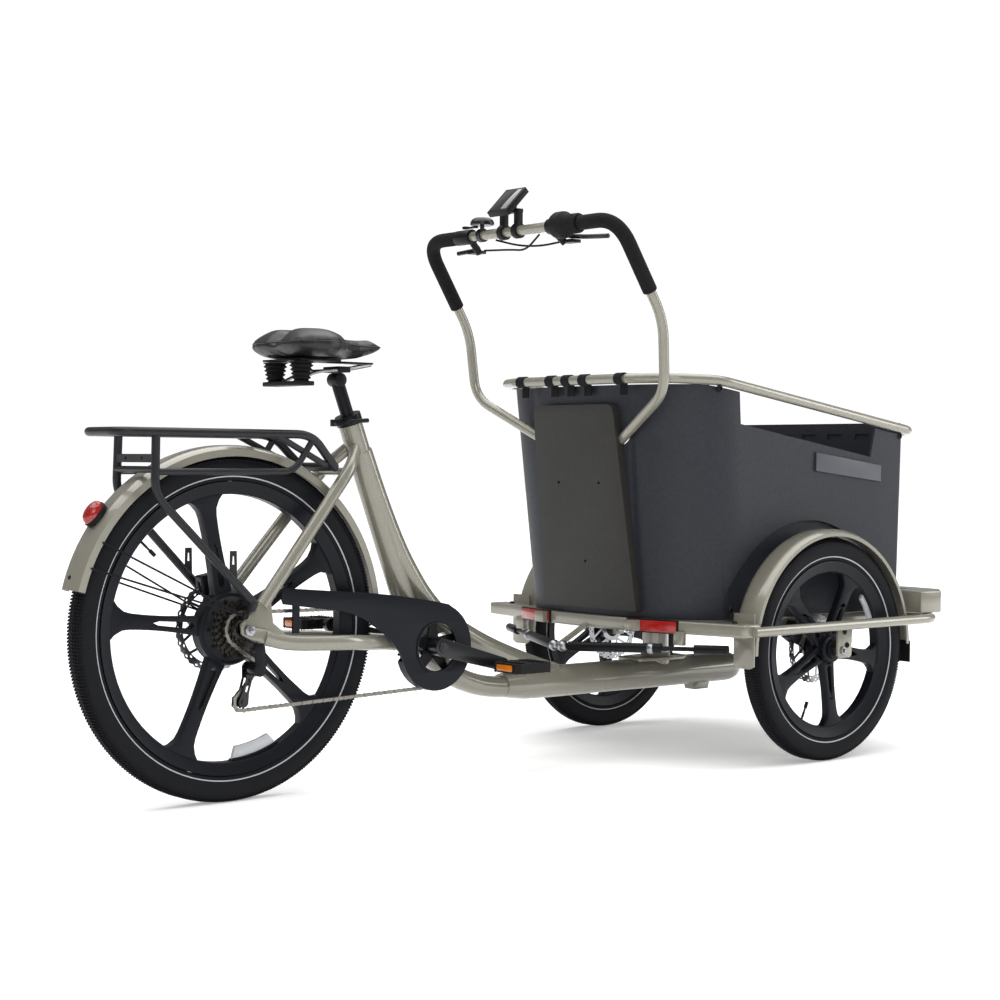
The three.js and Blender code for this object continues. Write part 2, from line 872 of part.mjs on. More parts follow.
function platform() {
  const parts = [
    block(40, 560, 24, PIVOT_X, 0, DECK_Z - 14),
    bar(vec(PIVOT_X, 0, 230.4), vec(PIVOT_X, 0, DECK_Z - 3), 30, 14),
    block(50, 620, 24, WHEELBASE, 0, DECK_Z - 14),
    block(30, 2 * 300, 20, 1640, 0, DECK_Z - 12),
    block(740, 30, 24, 1310, 150, DECK_Z - 14),
    block(740, 30, 24, 1310, -150, DECK_Z - 14),
    bar(vec(956, 0, DECK_Z - 20), STRUT_INNER, 6, 10),
  ];
  const memberShape = new THREE.Shape();
  memberShape.moveTo(REAR_MEMBER_END.x, -REAR_MEMBER_END.y);
  memberShape.quadraticCurveTo(870, 0, REAR_MEMBER_END.x, REAR_MEMBER_END.y);
  memberShape.lineTo(REAR_MEMBER_END.x + 52, REAR_MEMBER_END.y);
  memberShape.lineTo(REAR_MEMBER_END.x + 52, REAR_MEMBER_END.y - 70);
  memberShape.quadraticCurveTo(940, 0, REAR_MEMBER_END.x + 52, 70 - REAR_MEMBER_END.y);
  memberShape.lineTo(REAR_MEMBER_END.x + 52, -REAR_MEMBER_END.y);
  memberShape.closePath();
  parts.push(flat(memberShape, DECK_Z - 28, DECK_Z, 8));
  for (const [, s] of SIDES) {
    const railY = RAIL_Y * s;
    const bracketY = 306 * s;
    const plateY = (RAIL_Y - 12) * s;
    parts.push(
      tube(
        [
          vec(1045, railY, RAIL_Z),
          vec(FRONT_MEMBER_X, railY, RAIL_Z + 3),
          vec(FRONT_MEMBER_X, -4 * s, RAIL_Z + 3),
        ],
        RAIL_RADIUS,
        60,
        10,
        3,
      ),
      block(640, 14, 20, 1330, 290 * s, DECK_Z - 12),
      block(46, 40, 20, 1046, 400 * s, RAIL_Z),
      upright(
        outline([1320, 312], [1370, 312], [1362, 236], [1328, 236]),
        Math.min(bracketY - 3, bracketY + 3),
        Math.max(bracketY - 3, bracketY + 3),
      ),
      upright(
        outline([1330, 308], [1380, 308], [1376, 236], [1330, 236]),
        Math.min(plateY - 3 * s, plateY + 3 * s),
        Math.max(plateY - 3 * s, plateY + 3 * s),
      ),
      pin(WHEELBASE, FRONT_WHEEL_RADIUS, 305 * s, 422 * s, 8, 14),
      cut(
        block(14, 26, 46, STRUT_GUIDE.x, STRUT_GUIDE.y * s, 277),
        block(30, 30, 22, STRUT_GUIDE.x, STRUT_GUIDE.y * s, STRUT_GUIDE.z),
      ),
    );
  }
  const whole = join(...parts);
  return cut(whole, bar(vec(PIVOT_X, 0, 180), vec(PIVOT_X, 0, 319), 15.5, 12));
}
piece("platform", platform(), PAINT);

function frontBlock() {
  const front = 2 * MIDDLE_X - REAR_OVERHANG;
  const shape = outline(
    [1620, -420],
    [1694, -420],
    [front - 8, -380],
    [front, -300],
    [front, 300],
    [front - 8, 380],
    [1694, 420],
    [1620, 420],
    [1620, 350],
    [1650, 330],
    [1700, 330],
    [1700, -330],
    [1650, -330],
    [1620, -350],
  );
  return flat(shape, RAIL_Z + 15, 372, 4);
}
piece("front_block", frontBlock(), PAINT);

for (const [side, s] of SIDES) {
  const arc = arcRoute(WHEELBASE, TRACK_HALF * s, FRONT_WHEEL_RADIUS, 270, 0, 180, 15);
  const tailX = WHEELBASE - 270;
  const fender = join(
    sweep(fenderSection(32, 16), arc),
    block(4, 60, 26, tailX + 2, (TRACK_HALF + 4) * s, FRONT_WHEEL_RADIUS - 8),
    block(4, 60, 20, WHEELBASE + 266, TRACK_HALF * s, FRONT_WHEEL_RADIUS - 4),
  );
  piece(`fender_${side}`, fender, PAINT);
  piece(
    `caliper_${side}`,
    caliper(WHEELBASE, (TRACK_HALF - 35) * s, FRONT_WHEEL_RADIUS, 80, 150),
    BLACK_METAL,
  );
}

// A strut from the middle of the rear member out through its guide.
for (const [side, s] of SIDES) {
  const inner = vec(STRUT_INNER.x, 9 * s, STRUT_INNER.z);
  const guide = mirrored(STRUT_GUIDE, s);
  const along = guide.clone().sub(inner).normalize();
  const far = guide.clone().addScaledVector(along, 110);
  piece(
    `platform_strut_${side}`,
    join(
      bar(inner, far, 5, 10),
      bar(inner.clone().addScaledVector(along, 20), guide.clone().addScaledVector(along, -40), 11, 12),
      bar(guide.clone().addScaledVector(along, 34), far, 10, 12),
    ),
    BLACK_METAL,
  );
}

// ---- Cargo box ----------------------------------------------------------------------------

// The tub's outline, seen from above, at a height between its bottom (0) and its top (1).
// inset moves it inwards.
function tubOutline(level, inset) {
  const lerp = THREE.MathUtils.lerp;
  const rear = lerp(BOX.rearBottom, BOX.rearTop, level) + inset;
  const half = lerp(BOX.halfBottom, BOX.halfTop, level) - inset;
  const front = BOX.front - inset;
  const corner = 165 - inset;
  const shape = new THREE.Shape();
  shape.moveTo(rear, 0);
  shape.quadraticCurveTo(rear + 1, corner - half + 30, rear + 14, corner - half);
  shape.absarc(rear + 14 + corner, corner - half, corner, Math.PI, 1.5 * Math.PI, false);
  shape.lineTo(front - 30, -half);
  shape.quadraticCurveTo(front, -half, front, 30 - half);
  shape.lineTo(front, half - 30);
  shape.quadraticCurveTo(front, half, front - 30, half);
  shape.absarc(rear + 14 + corner, half - corner, corner, Math.PI / 2, Math.PI, false);
  shape.quadraticCurveTo(rear + 1, half - corner - 30, rear, 0);
  return shape;
}

// A tub-shaped solid whose outline changes evenly from fromZ to toZ.
function tub(fromZ, toZ, inset) {
  const height = BOX.top - BOX.bottom;
  const low = tubOutline((fromZ - BOX.bottom) / height, inset).getPoints(6);
  const high = tubOutline((toZ - BOX.bottom) / height, inset).getPoints(6);
  const geometry = flat(new THREE.Shape(low), fromZ, toZ);
  const position = geometry.attributes.position;
  const key = (x, y) => `${x.toFixed(2)},${y.toFixed(2)}`;
  const raised = new Map(low.map((p, i) => [key(p.x, p.y), high[i]]));
  for (let i = 0; i < position.count; i++) {
    if (position.getZ(i) < toZ - 1) continue;
    const target = raised.get(key(position.getX(i), position.getY(i)));
    position.setXY(i, target.x, target.y);
  }
  return geometry;
}

const ARCH_RADIUS = 288;
const railHeight = (x) => THREE.MathUtils.mapLinear(x, 1024, FRONT_MEMBER_X, 848, 748);

function cargoBox() {
  const arch = (radius, innerY, s) =>
    pin(WHEELBASE, FRONT_WHEEL_RADIUS, innerY * s, 400 * s, radius, 32);
  const outer = cut(tub(BOX.bottom, BOX.top, 0), arch(ARCH_RADIUS, 300, 1), arch(ARCH_RADIUS, 300, -1));
  const inner = cut(
    tub(BOX.bottom + BOX.wall, BOX.top + 40, BOX.wall),
    arch(ARCH_RADIUS + BOX.wall, 294, 1),
    arch(ARCH_RADIUS + BOX.wall, 294, -1),
  );
  const aboveRail = upright(
    outline(
      [1024, 834],
      [1672, railHeight(1672) - 15],
      [1672, 765],
      [1800, 765],
      [1800, 1000],
      [1024, 1000],
    ),
    -400,
    400,
  );
  const sideWindows = upright(
    outline([1111, 752], [1556, 683], [1572, 760], [1572, 900], [1098, 900]),
    -400,
    400,
  );
  const frontCorners = [-1, 1].map((s) => block(80, 60, 80, 1690, 334 * s, 770));
  return cut(outer, inner, aboveRail, sideWindows, ...frontCorners, ...barHoles());
}

// ---- Handlebar ----------------------------------------------------------------------------

const HANDLEBAR_HALF = [
  vec(BAR_TOP.x, 0, BAR_TOP.z),
  vec(BAR_TOP.x, 318, BAR_TOP.z),
  vec(868, 321, 966),
  vec(882, 313, 815),
  vec(937, 117, 710),
];
const GRIP_FROM = 205;
const barCorners = (s) => HANDLEBAR_HALF.map((p) => mirrored(p, s));

// Clearance holes for the lower ends of the handlebar, where they pass into the box.
function barHoles() {
  return [-1, 1].map((s) => {
    const [elbow, end] = barCorners(s).slice(-2);
    return bar(elbow.clone().lerp(end, 0.6), elbow.clone().lerp(end, 1.1), BAR_RADIUS + 2, 12);
  });
}

function handlebar() {
  const halves = [-1, 1].map((s) => sweep(circle(BAR_RADIUS), new Route(barCorners(s), 62, 4)));
  return join(...halves);
}
piece("handlebar", handlebar(), PAINT);
piece("cargo_box", cargoBox(), MOULDING);

function backPanel() {
  const shape = outline([-131, 794], [-151, 337], [151, 337], [131, 794]);
  const geometry = new THREE.ExtrudeGeometry(shape, { depth: 90, bevelEnabled: false });
  geometry.applyMatrix4(
    new THREE.Matrix4().makeBasis(vec(0, 1, 0), vec(0, 0, 1), vec(1, 0, 0)),
  );
  geometry.applyMatrix4(new THREE.Matrix4().makeShear(0, 0, 0, 0, -0.129, 0));
  geometry.translate(902 + 794 * 0.129, 0, 0);
  const clear = toSolid(tub(BOX.bottom - 10, BOX.top + 10, -GAP));
  const slab = toSolid(geometry).subtract(clear);
  const holes = barHoles().map(toSolid);
  return toGeometry(holes.reduce((whole, hole) => whole.subtract(hole), slab));
}
piece("box_back_panel", backPanel(), MOULDING);

function boxRail() {
  const rear = 893;
  const halves = [-1, 1].map((s) =>
    tube(
      [
        vec(rear, 0, 848),
        vec(rear, 200 * s, 848),
        vec(rear + 44, 286 * s, 848),
        vec(rear + 150, 322 * s, railHeight(rear + 150)),
        vec(1704, 322 * s, railHeight(1704)),
        vec(1704, 0, railHeight(1704)),
      ],
      RAIL_RADIUS,
      34,
      8,
      2,
    ),
  );
  return join(...halves);
}
piece("box_rail", boxRail(), PAINT);

function grip(s) {
  const route = new Route(barCorners(s).slice(0, 3), 62, 4);
  const points = route.points.slice();
  const start = vec(BAR_TOP.x, GRIP_FROM * s, BAR_TOP.z);
  const last = points.length - 1;
  const end = points[last - 1].clone().lerp(points[last], 0.62);
  const trimmed = new Route([], 1);
  trimmed.add(start, route.tangents[0]);
  for (let k = 1; k < last; k++) trimmed.add(points[k], route.tangents[k]);
  trimmed.add(end, route.tangents[last - 1]);
  return cut(sweep(circle(18), trimmed), sweep(circle(BAR_RADIUS + GAP), route));
}
for (const [side, s] of SIDES) piece(`grip_${side}`, grip(s), FOAM);

const barClear = () => pin(BAR_TOP.x, BAR_TOP.z, -230, 230, BAR_RADIUS + GAP, 14);

function displayMount() {
  return cut(
    join(
      pin(BAR_TOP.x, BAR_TOP.z, 36, 50, 17, 14),
      pin(BAR_TOP.x, BAR_TOP.z, -12, 2, 17, 14),
      block(14, 14, 40, BAR_TOP.x, 43, BAR_TOP.z + 28),
      block(14, 14, 40, BAR_TOP.x, -5, BAR_TOP.z + 28),
      block(16, 62, 8, BAR_TOP.x, 19, BAR_TOP.z + 44),
    ),
    barClear(),
  );
}
piece("display_mount", displayMount(), BLACK_PLASTIC);
piece(
  "display",
  join(
    block(78, 66, 14, 0, 0, 14),
    pin(0, 0, -14, 14, 5, 10),
    block(14, 28, 10, 0, 0, 5),
  )
    .rotateY(THREE.MathUtils.degToRad(-45))
    .translate(BAR_TOP.x, 19, BAR_TOP.z + 53.5),
  BLACK_PLASTIC,
);

// Each brake: the span of its clamp on the bar and the place of its lever's pivot.
const LEVER = { x: 766, z: 1150 };
const BRAKES = { right: { clamp: [108, 126], y: 146 }, left: { clamp: [152, 203], y: 186 } };
for (const [side, s] of SIDES) {
  const { clamp, y } = BRAKES[side];
  const mount = cut(
    join(
      pin(BAR_TOP.x, BAR_TOP.z, clamp[0] * s, clamp[1] * s, 17, 14),
      bar(
        vec(BAR_TOP.x + 8, (clamp[0] + 9) * s, BAR_TOP.z - 12),
        vec(LEVER.x, (y - 22) * s, LEVER.z - 15),
        8,
        10,
      ),
      block(26, 36, 7, LEVER.x + 4, (y - 8) * s, LEVER.z - 12),
    ),
    barClear(),
  );
  piece(`brake_mount_${side}`, mount, BLACK_METAL);
  const lever = tube(
    [
      vec(LEVER.x + 2, (y - 12) * s, LEVER.z),
      vec(LEVER.x + 28, (y + 12) * s, LEVER.z - 2),
      vec(LEVER.x + 26, (y + 86) * s, LEVER.z - 6),
    ],
    5.4,
    26,
    8,
    2,
  );
  piece(`brake_lever_${side}`, lever, BLACK_METAL);
}

const ringAroundBar = (fromY, toY, radius) =>
  cut(pin(BAR_TOP.x, BAR_TOP.z, fromY, toY, radius, 20), barClear());
piece("twist_shifter", ringAroundBar(-203, -129, 29), BLACK_PLASTIC);
piece(
  "bell",
  cut(
    join(
      pin(BAR_TOP.x, BAR_TOP.z, 112, 124, 15, 14),
      bar(vec(BAR_TOP.x, 118, BAR_TOP.z + 10), vec(BAR_TOP.x, 118, BAR_TOP.z + 24), 5, 10),
      bar(vec(BAR_TOP.x, 118, BAR_TOP.z + 22), vec(BAR_TOP.x, 118, BAR_TOP.z + 40), 27, 20, 16),
    ),
    barClear(),
  ),
  BLACK_METAL,
);
piece(
  "bell_lever",
  join(
    bar(vec(BAR_TOP.x - 18, 118, BAR_TOP.z + 15), vec(BAR_TOP.x - 18, 118, BAR_TOP.z + 20), 5, 10),
    block(6, 30, 4, BAR_TOP.x - 20, 133, BAR_TOP.z + 17),
  ),
  BLACK_METAL,
);
piece(
  "mode_button",
  block(12, 12, 6, BAR_TOP.x, 176, BAR_TOP.z + 21.6),
  BLACK_PLASTIC,
);

for (const [side, s] of SIDES) {
  const { y } = BRAKES[side];
  const route = [
    vec(LEVER.x + 8, (y - 31) * s, LEVER.z - 9),
    vec(LEVER.x - 4, 50 * s, LEVER.z - 16),
    vec(LEVER.x - 14, -12 * s, LEVER.z - 17 - 6 * s),
    vec(BAR_TOP.x + 2, -72 * s, BAR_TOP.z - 14),
  ];
  piece(`brake_hose_${side}`, tube(route, 2.2, 30, 8, 3), BLACK_PLASTIC);
}

export default group;
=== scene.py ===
import json
import math

import bmesh
import bpy
import numpy as np
from mathutils import Matrix, Vector
from mathutils.bvhtree import BVHTree
from mathutils.geometry import tessellate_polygon


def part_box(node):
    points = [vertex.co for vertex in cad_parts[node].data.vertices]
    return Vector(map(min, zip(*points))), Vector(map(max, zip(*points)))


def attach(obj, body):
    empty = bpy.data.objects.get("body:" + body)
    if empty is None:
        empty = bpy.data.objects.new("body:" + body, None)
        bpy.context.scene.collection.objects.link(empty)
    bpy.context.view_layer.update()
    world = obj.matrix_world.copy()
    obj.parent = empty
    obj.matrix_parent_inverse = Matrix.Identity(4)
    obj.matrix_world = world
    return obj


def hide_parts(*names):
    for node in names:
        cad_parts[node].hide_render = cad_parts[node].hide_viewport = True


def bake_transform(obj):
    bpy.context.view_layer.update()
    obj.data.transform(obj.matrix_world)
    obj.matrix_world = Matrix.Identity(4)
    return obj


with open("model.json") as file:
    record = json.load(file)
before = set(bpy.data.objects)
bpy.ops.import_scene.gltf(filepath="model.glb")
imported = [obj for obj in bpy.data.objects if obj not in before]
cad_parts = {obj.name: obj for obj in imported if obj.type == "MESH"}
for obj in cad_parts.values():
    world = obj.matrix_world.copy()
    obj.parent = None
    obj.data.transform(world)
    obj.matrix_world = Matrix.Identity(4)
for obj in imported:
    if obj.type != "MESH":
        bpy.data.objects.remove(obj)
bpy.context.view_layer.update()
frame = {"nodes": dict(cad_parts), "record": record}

# ---- Studio -------------------------------------------------------------------------------
# A pale seamless floor under three large soft boxes: one overhead, and two on the rider's right,
# behind and in front. The camera stands behind and to the right, just below the rack's height.

EYE = Vector((-2.7586, -3.2522, 0.6643))
HEADING, TILT, ROLL = (math.radians(a) for a in (40.2227, 1.1031, 0.4315))


def linear(code):
    """An sRGB hex colour as linear red, green and blue, with full alpha."""
    parts = [int(code[i : i + 2], 16) / 255 for i in (1, 3, 5)]
    return [p / 12.92 if p <= 0.04045 else ((p + 0.055) / 1.055) ** 2.4 for p in parts] + [1.0]


def placed(name, data):
    """A new object in the scene."""
    made = bpy.data.objects.new(name, data)
    bpy.context.scene.collection.objects.link(made)
    return made


def add(tree, kind, inputs=(), **settings):
    """Adds a node, sets its own settings, and sets or links each named input."""
    node = tree.nodes.new(kind)
    for name, value in settings.items():
        setattr(node, name, value)
    for name, value in dict(inputs).items():
        if isinstance(value, bpy.types.NodeSocket):
            tree.links.new(value, node.inputs[name])
        else:
            node.inputs[name].default_value = value
    return node


def place_camera():
    look = Vector((math.sin(HEADING) * math.cos(TILT), math.cos(HEADING) * math.cos(TILT), -math.sin(TILT)))
    level = Vector((math.cos(HEADING), -math.sin(HEADING), 0))
    upward = level.cross(look)
    right = level * math.cos(ROLL) + upward * math.sin(ROLL)
    up = upward * math.cos(ROLL) - level * math.sin(ROLL)
    camera = placed("camera", bpy.data.cameras.new("camera"))
    camera.data.sensor_width = 36.0
    camera.data.lens = 70.57
    camera.matrix_world = Matrix.Translation(EYE) @ Matrix((right, up, -look)).transposed().to_4x4()
    bpy.context.scene.camera = camera


def soft_box(name, place, aim, size, power):
    light = bpy.data.lights.new(name, "AREA")
    light.shape = "RECTANGLE"
    light.size, light.size_y = size
    light.energy = power
    lamp = placed(name, light)
    lamp.location = place
    lamp.rotation_mode = "QUATERNION"
    lamp.rotation_quaternion = (Vector(aim) - Vector(place)).to_track_quat("-Z", "Y")


place_camera()
soft_box("overhead_box", (0.2, 0.2, 4.2), (0.2, 0.1, 0.0), (6.5, 5.5), 300)
soft_box("right_box", (-2.2, -3.6, 2.6), (0.0, 0.0, 0.5), (2.4, 1.6), 40)
soft_box("front_box", (3.8, -2.4, 2.0), (0.4, 0.0, 0.5), (1.2, 2.6), 45)

floor_mesh = bpy.data.meshes.new("floor")
floor_mesh.from_pydata([(-30, -30, 0), (30, -30, 0), (30, 30, 0), (-30, 30, 0)], [], [(0, 1, 2, 3)])
floor = placed("floor", floor_mesh)
floor_paper = bpy.data.materials.new("matt_white_paper")
floor_paper.use_nodes = True
floor_paper.node_tree.nodes.clear()
# The floor's own light grows with distance, as on a paper sweep that is lit along its back.
spot = add(floor_paper.node_tree, "ShaderNodeTexCoord").outputs["Object"]
away = add(floor_paper.node_tree, "ShaderNodeVectorMath", {0: spot}, operation="LENGTH")
glow = add(
    floor_paper.node_tree,
    "ShaderNodeMapRange",
    {"Value": away.outputs["Value"], "From Min": 1.6, "From Max": 6.0, "To Min": 0.32, "To Max": 1.0},
)
paper = add(
    floor_paper.node_tree,
    "ShaderNodeBsdfPrincipled",
    {
        "Base Color": linear("#F7F7F7"),
        "Roughness": 0.9,
        "Specular IOR Level": 0.0,
        "Emission Color": linear("#FFFFFF"),
        "Emission Strength": glow.outputs[0],
    },
)
add(floor_paper.node_tree, "ShaderNodeOutputMaterial", {"Surface": paper.outputs[0]})
floor_mesh.materials.append(floor_paper)

world = bpy.data.worlds.new("studio")
world.use_nodes = True
world.node_tree.nodes.clear()
# The backdrop is seen pure white, but the room around the object is dim, so black parts stay black.
seen = add(world.node_tree, "ShaderNodeLightPath").outputs["Is Camera Ray"]
strength = add(world.node_tree, "ShaderNodeMapRange", {"Value": seen, "To Min": 0.3, "To Max": 1.05})
sky = add(
    world.node_tree,
    "ShaderNodeBackground",
    {"Color": linear("#FFFFFF"), "Strength": strength.outputs[0]},
)
add(world.node_tree, "ShaderNodeOutputWorld", {"Surface": sky.outputs[0]})
bpy.context.scene.world = world
bpy.context.scene.view_settings.view_transform = "Standard"

# ---- Tyres --------------------------------------------------------------------------------
# Wired-on rubber tyres, 50 mm wide, with a worn-in matt black skin, fine slanted tread blocks and
# a narrow reflecting band vulcanised into each sidewall.

MM = 0.001
rear_low, rear_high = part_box("rear_tyre")
TO_ROW = Matrix.Translation(((rear_low.x + rear_high.x) / 2, 0, 0)) @ Matrix.Diagonal((MM, MM, MM, 1))
TO_MM = TO_ROW.inverted()
BODY_OF = {node: body for body, nodes in frame["record"]["behaviour"]["bodies"].items() for node in nodes}
SIDES = (("right", -1), ("left", 1))


def box_mm(node):
    """A node's box in millimetres, measured from the ground under the rear axle."""
    low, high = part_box(node)
    return TO_MM @ low, TO_MM @ high


def coated(name, colour, shade, roughness, grain, bump, spread=0.06, patch=120, metallic=0.0, shader=()):
    """A surface of two near tones in slow patches, with a fine grain in gloss and relief.
    patch and grain are the sizes of the pattern, and bump is its height, in millimetres."""
    made = bpy.data.materials.new(name)
    made.use_nodes = True
    tree = made.node_tree
    tree.nodes.clear()
    place = add(tree, "ShaderNodeTexCoord").outputs["Object"]
    patches = add(
        tree, "ShaderNodeTexNoise", {"Vector": place, "Scale": 1 / (patch * MM), "Detail": 5.0}
    )
    fine = add(
        tree, "ShaderNodeTexNoise", {"Vector": place, "Scale": 1 / (grain * MM), "Detail": 3.0}
    )
    tone = add(
        tree,
        "ShaderNodeMix",
        {0: patches.outputs["Fac"], 6: linear(colour), 7: linear(shade)},
        data_type="RGBA",
    )
    gloss = add(
        tree,
        "ShaderNodeMapRange",
        {"Value": fine.outputs["Fac"], "To Min": roughness - spread, "To Max": roughness + spread},
    )
    relief = add(
        tree,
        "ShaderNodeBump",
        {"Height": fine.outputs["Fac"], "Distance": bump * MM, "Strength": 1.0},
        label="relief",
    )
    body = add(
        tree,
        "ShaderNodeBsdfPrincipled",
        {
            "Base Color": tone.outputs[2],
            "Roughness": gloss.outputs[0],
            "Metallic": metallic,
            "Normal": relief.outputs[0],
        }
        | dict(shader),
        label="body",
    )
    add(tree, "ShaderNodeOutputMaterial", {"Surface": body.outputs[0]})
    return made


def skin(bm, rings, loop=False):
    """Joins rings of points into a closed skin; loop joins the last ring to the first."""
    verts = [[bm.verts.new(p) for p in ring] for ring in rings]
    count = len(verts[0])
    for a, b in list(zip(verts, verts[1:])) + ([(verts[-1], verts[0])] if loop else []):
        for k in range(count):
            n = (k + 1) % count
            bm.faces.new((a[k], a[n], b[n], b[k]))
    if not loop:
        bm.faces.new(verts[0][::-1])
        bm.faces.new(verts[-1])


def turned(bm, profile, centre, sides=72):
    """A shape turned about an axis along Y through centre (x, z). The profile, of radius and y,
    closes on itself."""
    rings = []
    for k in range(sides):
        angle = math.tau * k / sides
        c, s = math.cos(angle), math.sin(angle)
        rings.append([Vector((centre[0] + r * c, y, centre[1] + r * s)) for r, y in profile])
    skin(bm, rings, loop=True)


def flowing(points, steps=4):
    """A smooth open line through a few points, with steps between each pair."""
    points = [Vector(p) for p in points]
    ends = [2 * points[0] - points[1], *points, 2 * points[-1] - points[-2]]
    line = []
    for a, b, c, d in zip(ends, ends[1:], ends[2:], ends[3:]):
        for k in range(steps):
            t = k / steps
            square, cube = 2 * a - 5 * b + 4 * c - d, 3 * b - a - 3 * c + d
            line.append(0.5 * (2 * b + (c - a) * t + square * t**2 + cube * t**3))
    return line + [points[-1]]


def finished(name, mesh, surface, body, stands_for=(), crease=35):
    """Makes the object of a final mesh in the row's frame, and lets it ride on its body; where body
    is a tuple of two bodies and two points, the object is only fixed in place and rides on neither."""
    mesh.name = name
    mesh.materials.clear()
    mesh.materials.append(surface)
    mesh.shade_smooth()
    mesh.set_sharp_from_angle(angle=math.radians(crease))
    made = placed(name, mesh)
    if isinstance(body, tuple):
        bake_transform(made)
    else:
        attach(made, body)
    if stands_for:
        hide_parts(*stands_for)
    return made


def make(name, bm, surface, body, stands_for=(), crease=35):
    """Finishes a piece that was built in millimetres from the ground under the rear axle."""
    bmesh.ops.remove_doubles(bm, verts=bm.verts, dist=0.004)
    bmesh.ops.recalc_face_normals(bm, faces=bm.faces)
    bm.transform(TO_ROW)
    mesh = bpy.data.meshes.new(name)
    bm.to_mesh(mesh)
    bm.free()
    return finished(name, mesh, surface, body, stands_for, crease)


def tree_of(name, **wanted):
    """A Geometry Nodes tree with these named inputs, and the outputs of its input node."""
    tree = bpy.data.node_groups.new(name, "GeometryNodeTree")
    for label, kind in wanted.items():
        tree.interface.new_socket(label, in_out="INPUT", socket_type="NodeSocket" + kind)
    tree.interface.new_socket("Geometry", in_out="OUTPUT", socket_type="NodeSocketGeometry")
    return tree, add(tree, "NodeGroupInput").outputs


def close_tree(tree, copies, material):
    """Ends a tree: real copies with one material."""
    real = add(tree, "GeometryNodeRealizeInstances", {"Geometry": copies})
    coat = add(tree, "GeometryNodeSetMaterial", {"Geometry": real.outputs[0], "Material": material})
    add(tree, "NodeGroupOutput", {"Geometry": coat.outputs[0]})


def round_tree():
    """Copies of a unit, evenly round an axis along Y."""
    tree, given = tree_of(
        "copies_round_an_axis",
        Geometry="Geometry",
        Unit="Object",
        Count="Int",
        Centre="Vector",
        Material="Material",
    )
    points = add(tree, "GeometryNodePoints", {"Count": given["Count"]})
    unit = add(tree, "GeometryNodeObjectInfo", {"Object": given["Unit"]})
    index = add(tree, "GeometryNodeInputIndex")
    share = add(tree, "ShaderNodeMath", {0: index.outputs[0], 1: given["Count"]}, operation="DIVIDE")
    angle = add(tree, "ShaderNodeMath", {0: share.outputs[0], 1: math.tau}, operation="MULTIPLY")
    turn = add(tree, "ShaderNodeCombineXYZ", {"Y": angle.outputs[0]})
    copies = add(
        tree,
        "GeometryNodeInstanceOnPoints",
        {"Points": points.outputs[0], "Instance": unit.outputs["Geometry"], "Rotation": turn.outputs[0]},
    )
    settled = add(
        tree, "GeometryNodeTransform", {"Geometry": copies.outputs[0], "Translation": given["Centre"]}
    )
    close_tree(tree, settled.outputs[0], given["Material"])
    return tree


def worked_out(obj):
    """The mesh that an object shows once its modifiers have run."""
    shown = bpy.context.evaluated_depsgraph_get()
    return bpy.data.meshes.new_from_object(obj.evaluated_get(shown), depsgraph=shown)


def grown(tree, start, unit, settings):
    """Runs a tree on a start mesh, with a unit built in millimetres, and gives the plain mesh."""
    holder = placed("holder", start)
    unit_mesh = bpy.data.meshes.new("unit")
    bmesh.ops.recalc_face_normals(unit, faces=unit.faces)
    unit.to_mesh(unit_mesh)
    unit.free()
    unit_object = placed("unit", unit_mesh)
    modifier = holder.modifiers.new("grow", "NODES")
    modifier.node_group = tree
    settings = {"Unit": unit_object} | settings
    for item in tree.interface.items_tree:
        if item.in_out == "INPUT" and item.name in settings:
            modifier[item.identifier] = settings[item.name]
    mesh = worked_out(holder)
    holder.modifiers.clear()
    bpy.data.objects.remove(holder)
    bpy.data.objects.remove(unit_object)
    mesh.transform(TO_ROW)
    return mesh


ROUND = round_tree()

# Vulcanised rubber: matt and deep black, with a little grey where the tread has been handled.
DULL = {"Specular IOR Level": 0.16}
SATIN = {"Specular IOR Level": 0.3}
tyre_rubber = coated("vulcanised_tyre_rubber", "#0F1013", "#15161A", 0.7, 1.6, 0.12, patch=60, shader=DULL)
# Glass-bead reflecting tape: pale grey, slightly pearly in plain light.
reflex_band = coated("glass_bead_reflex_band", "#B9BCC0", "#A3A7AC", 0.42, 0.9, 0.03)


def box_at(bm, size, x, y, z, turn=Matrix()):
    place = Matrix.Translation((x, y, z)) @ turn
    bmesh.ops.create_cube(bm, size=1, matrix=place @ Matrix.Diagonal((*size, 1)))


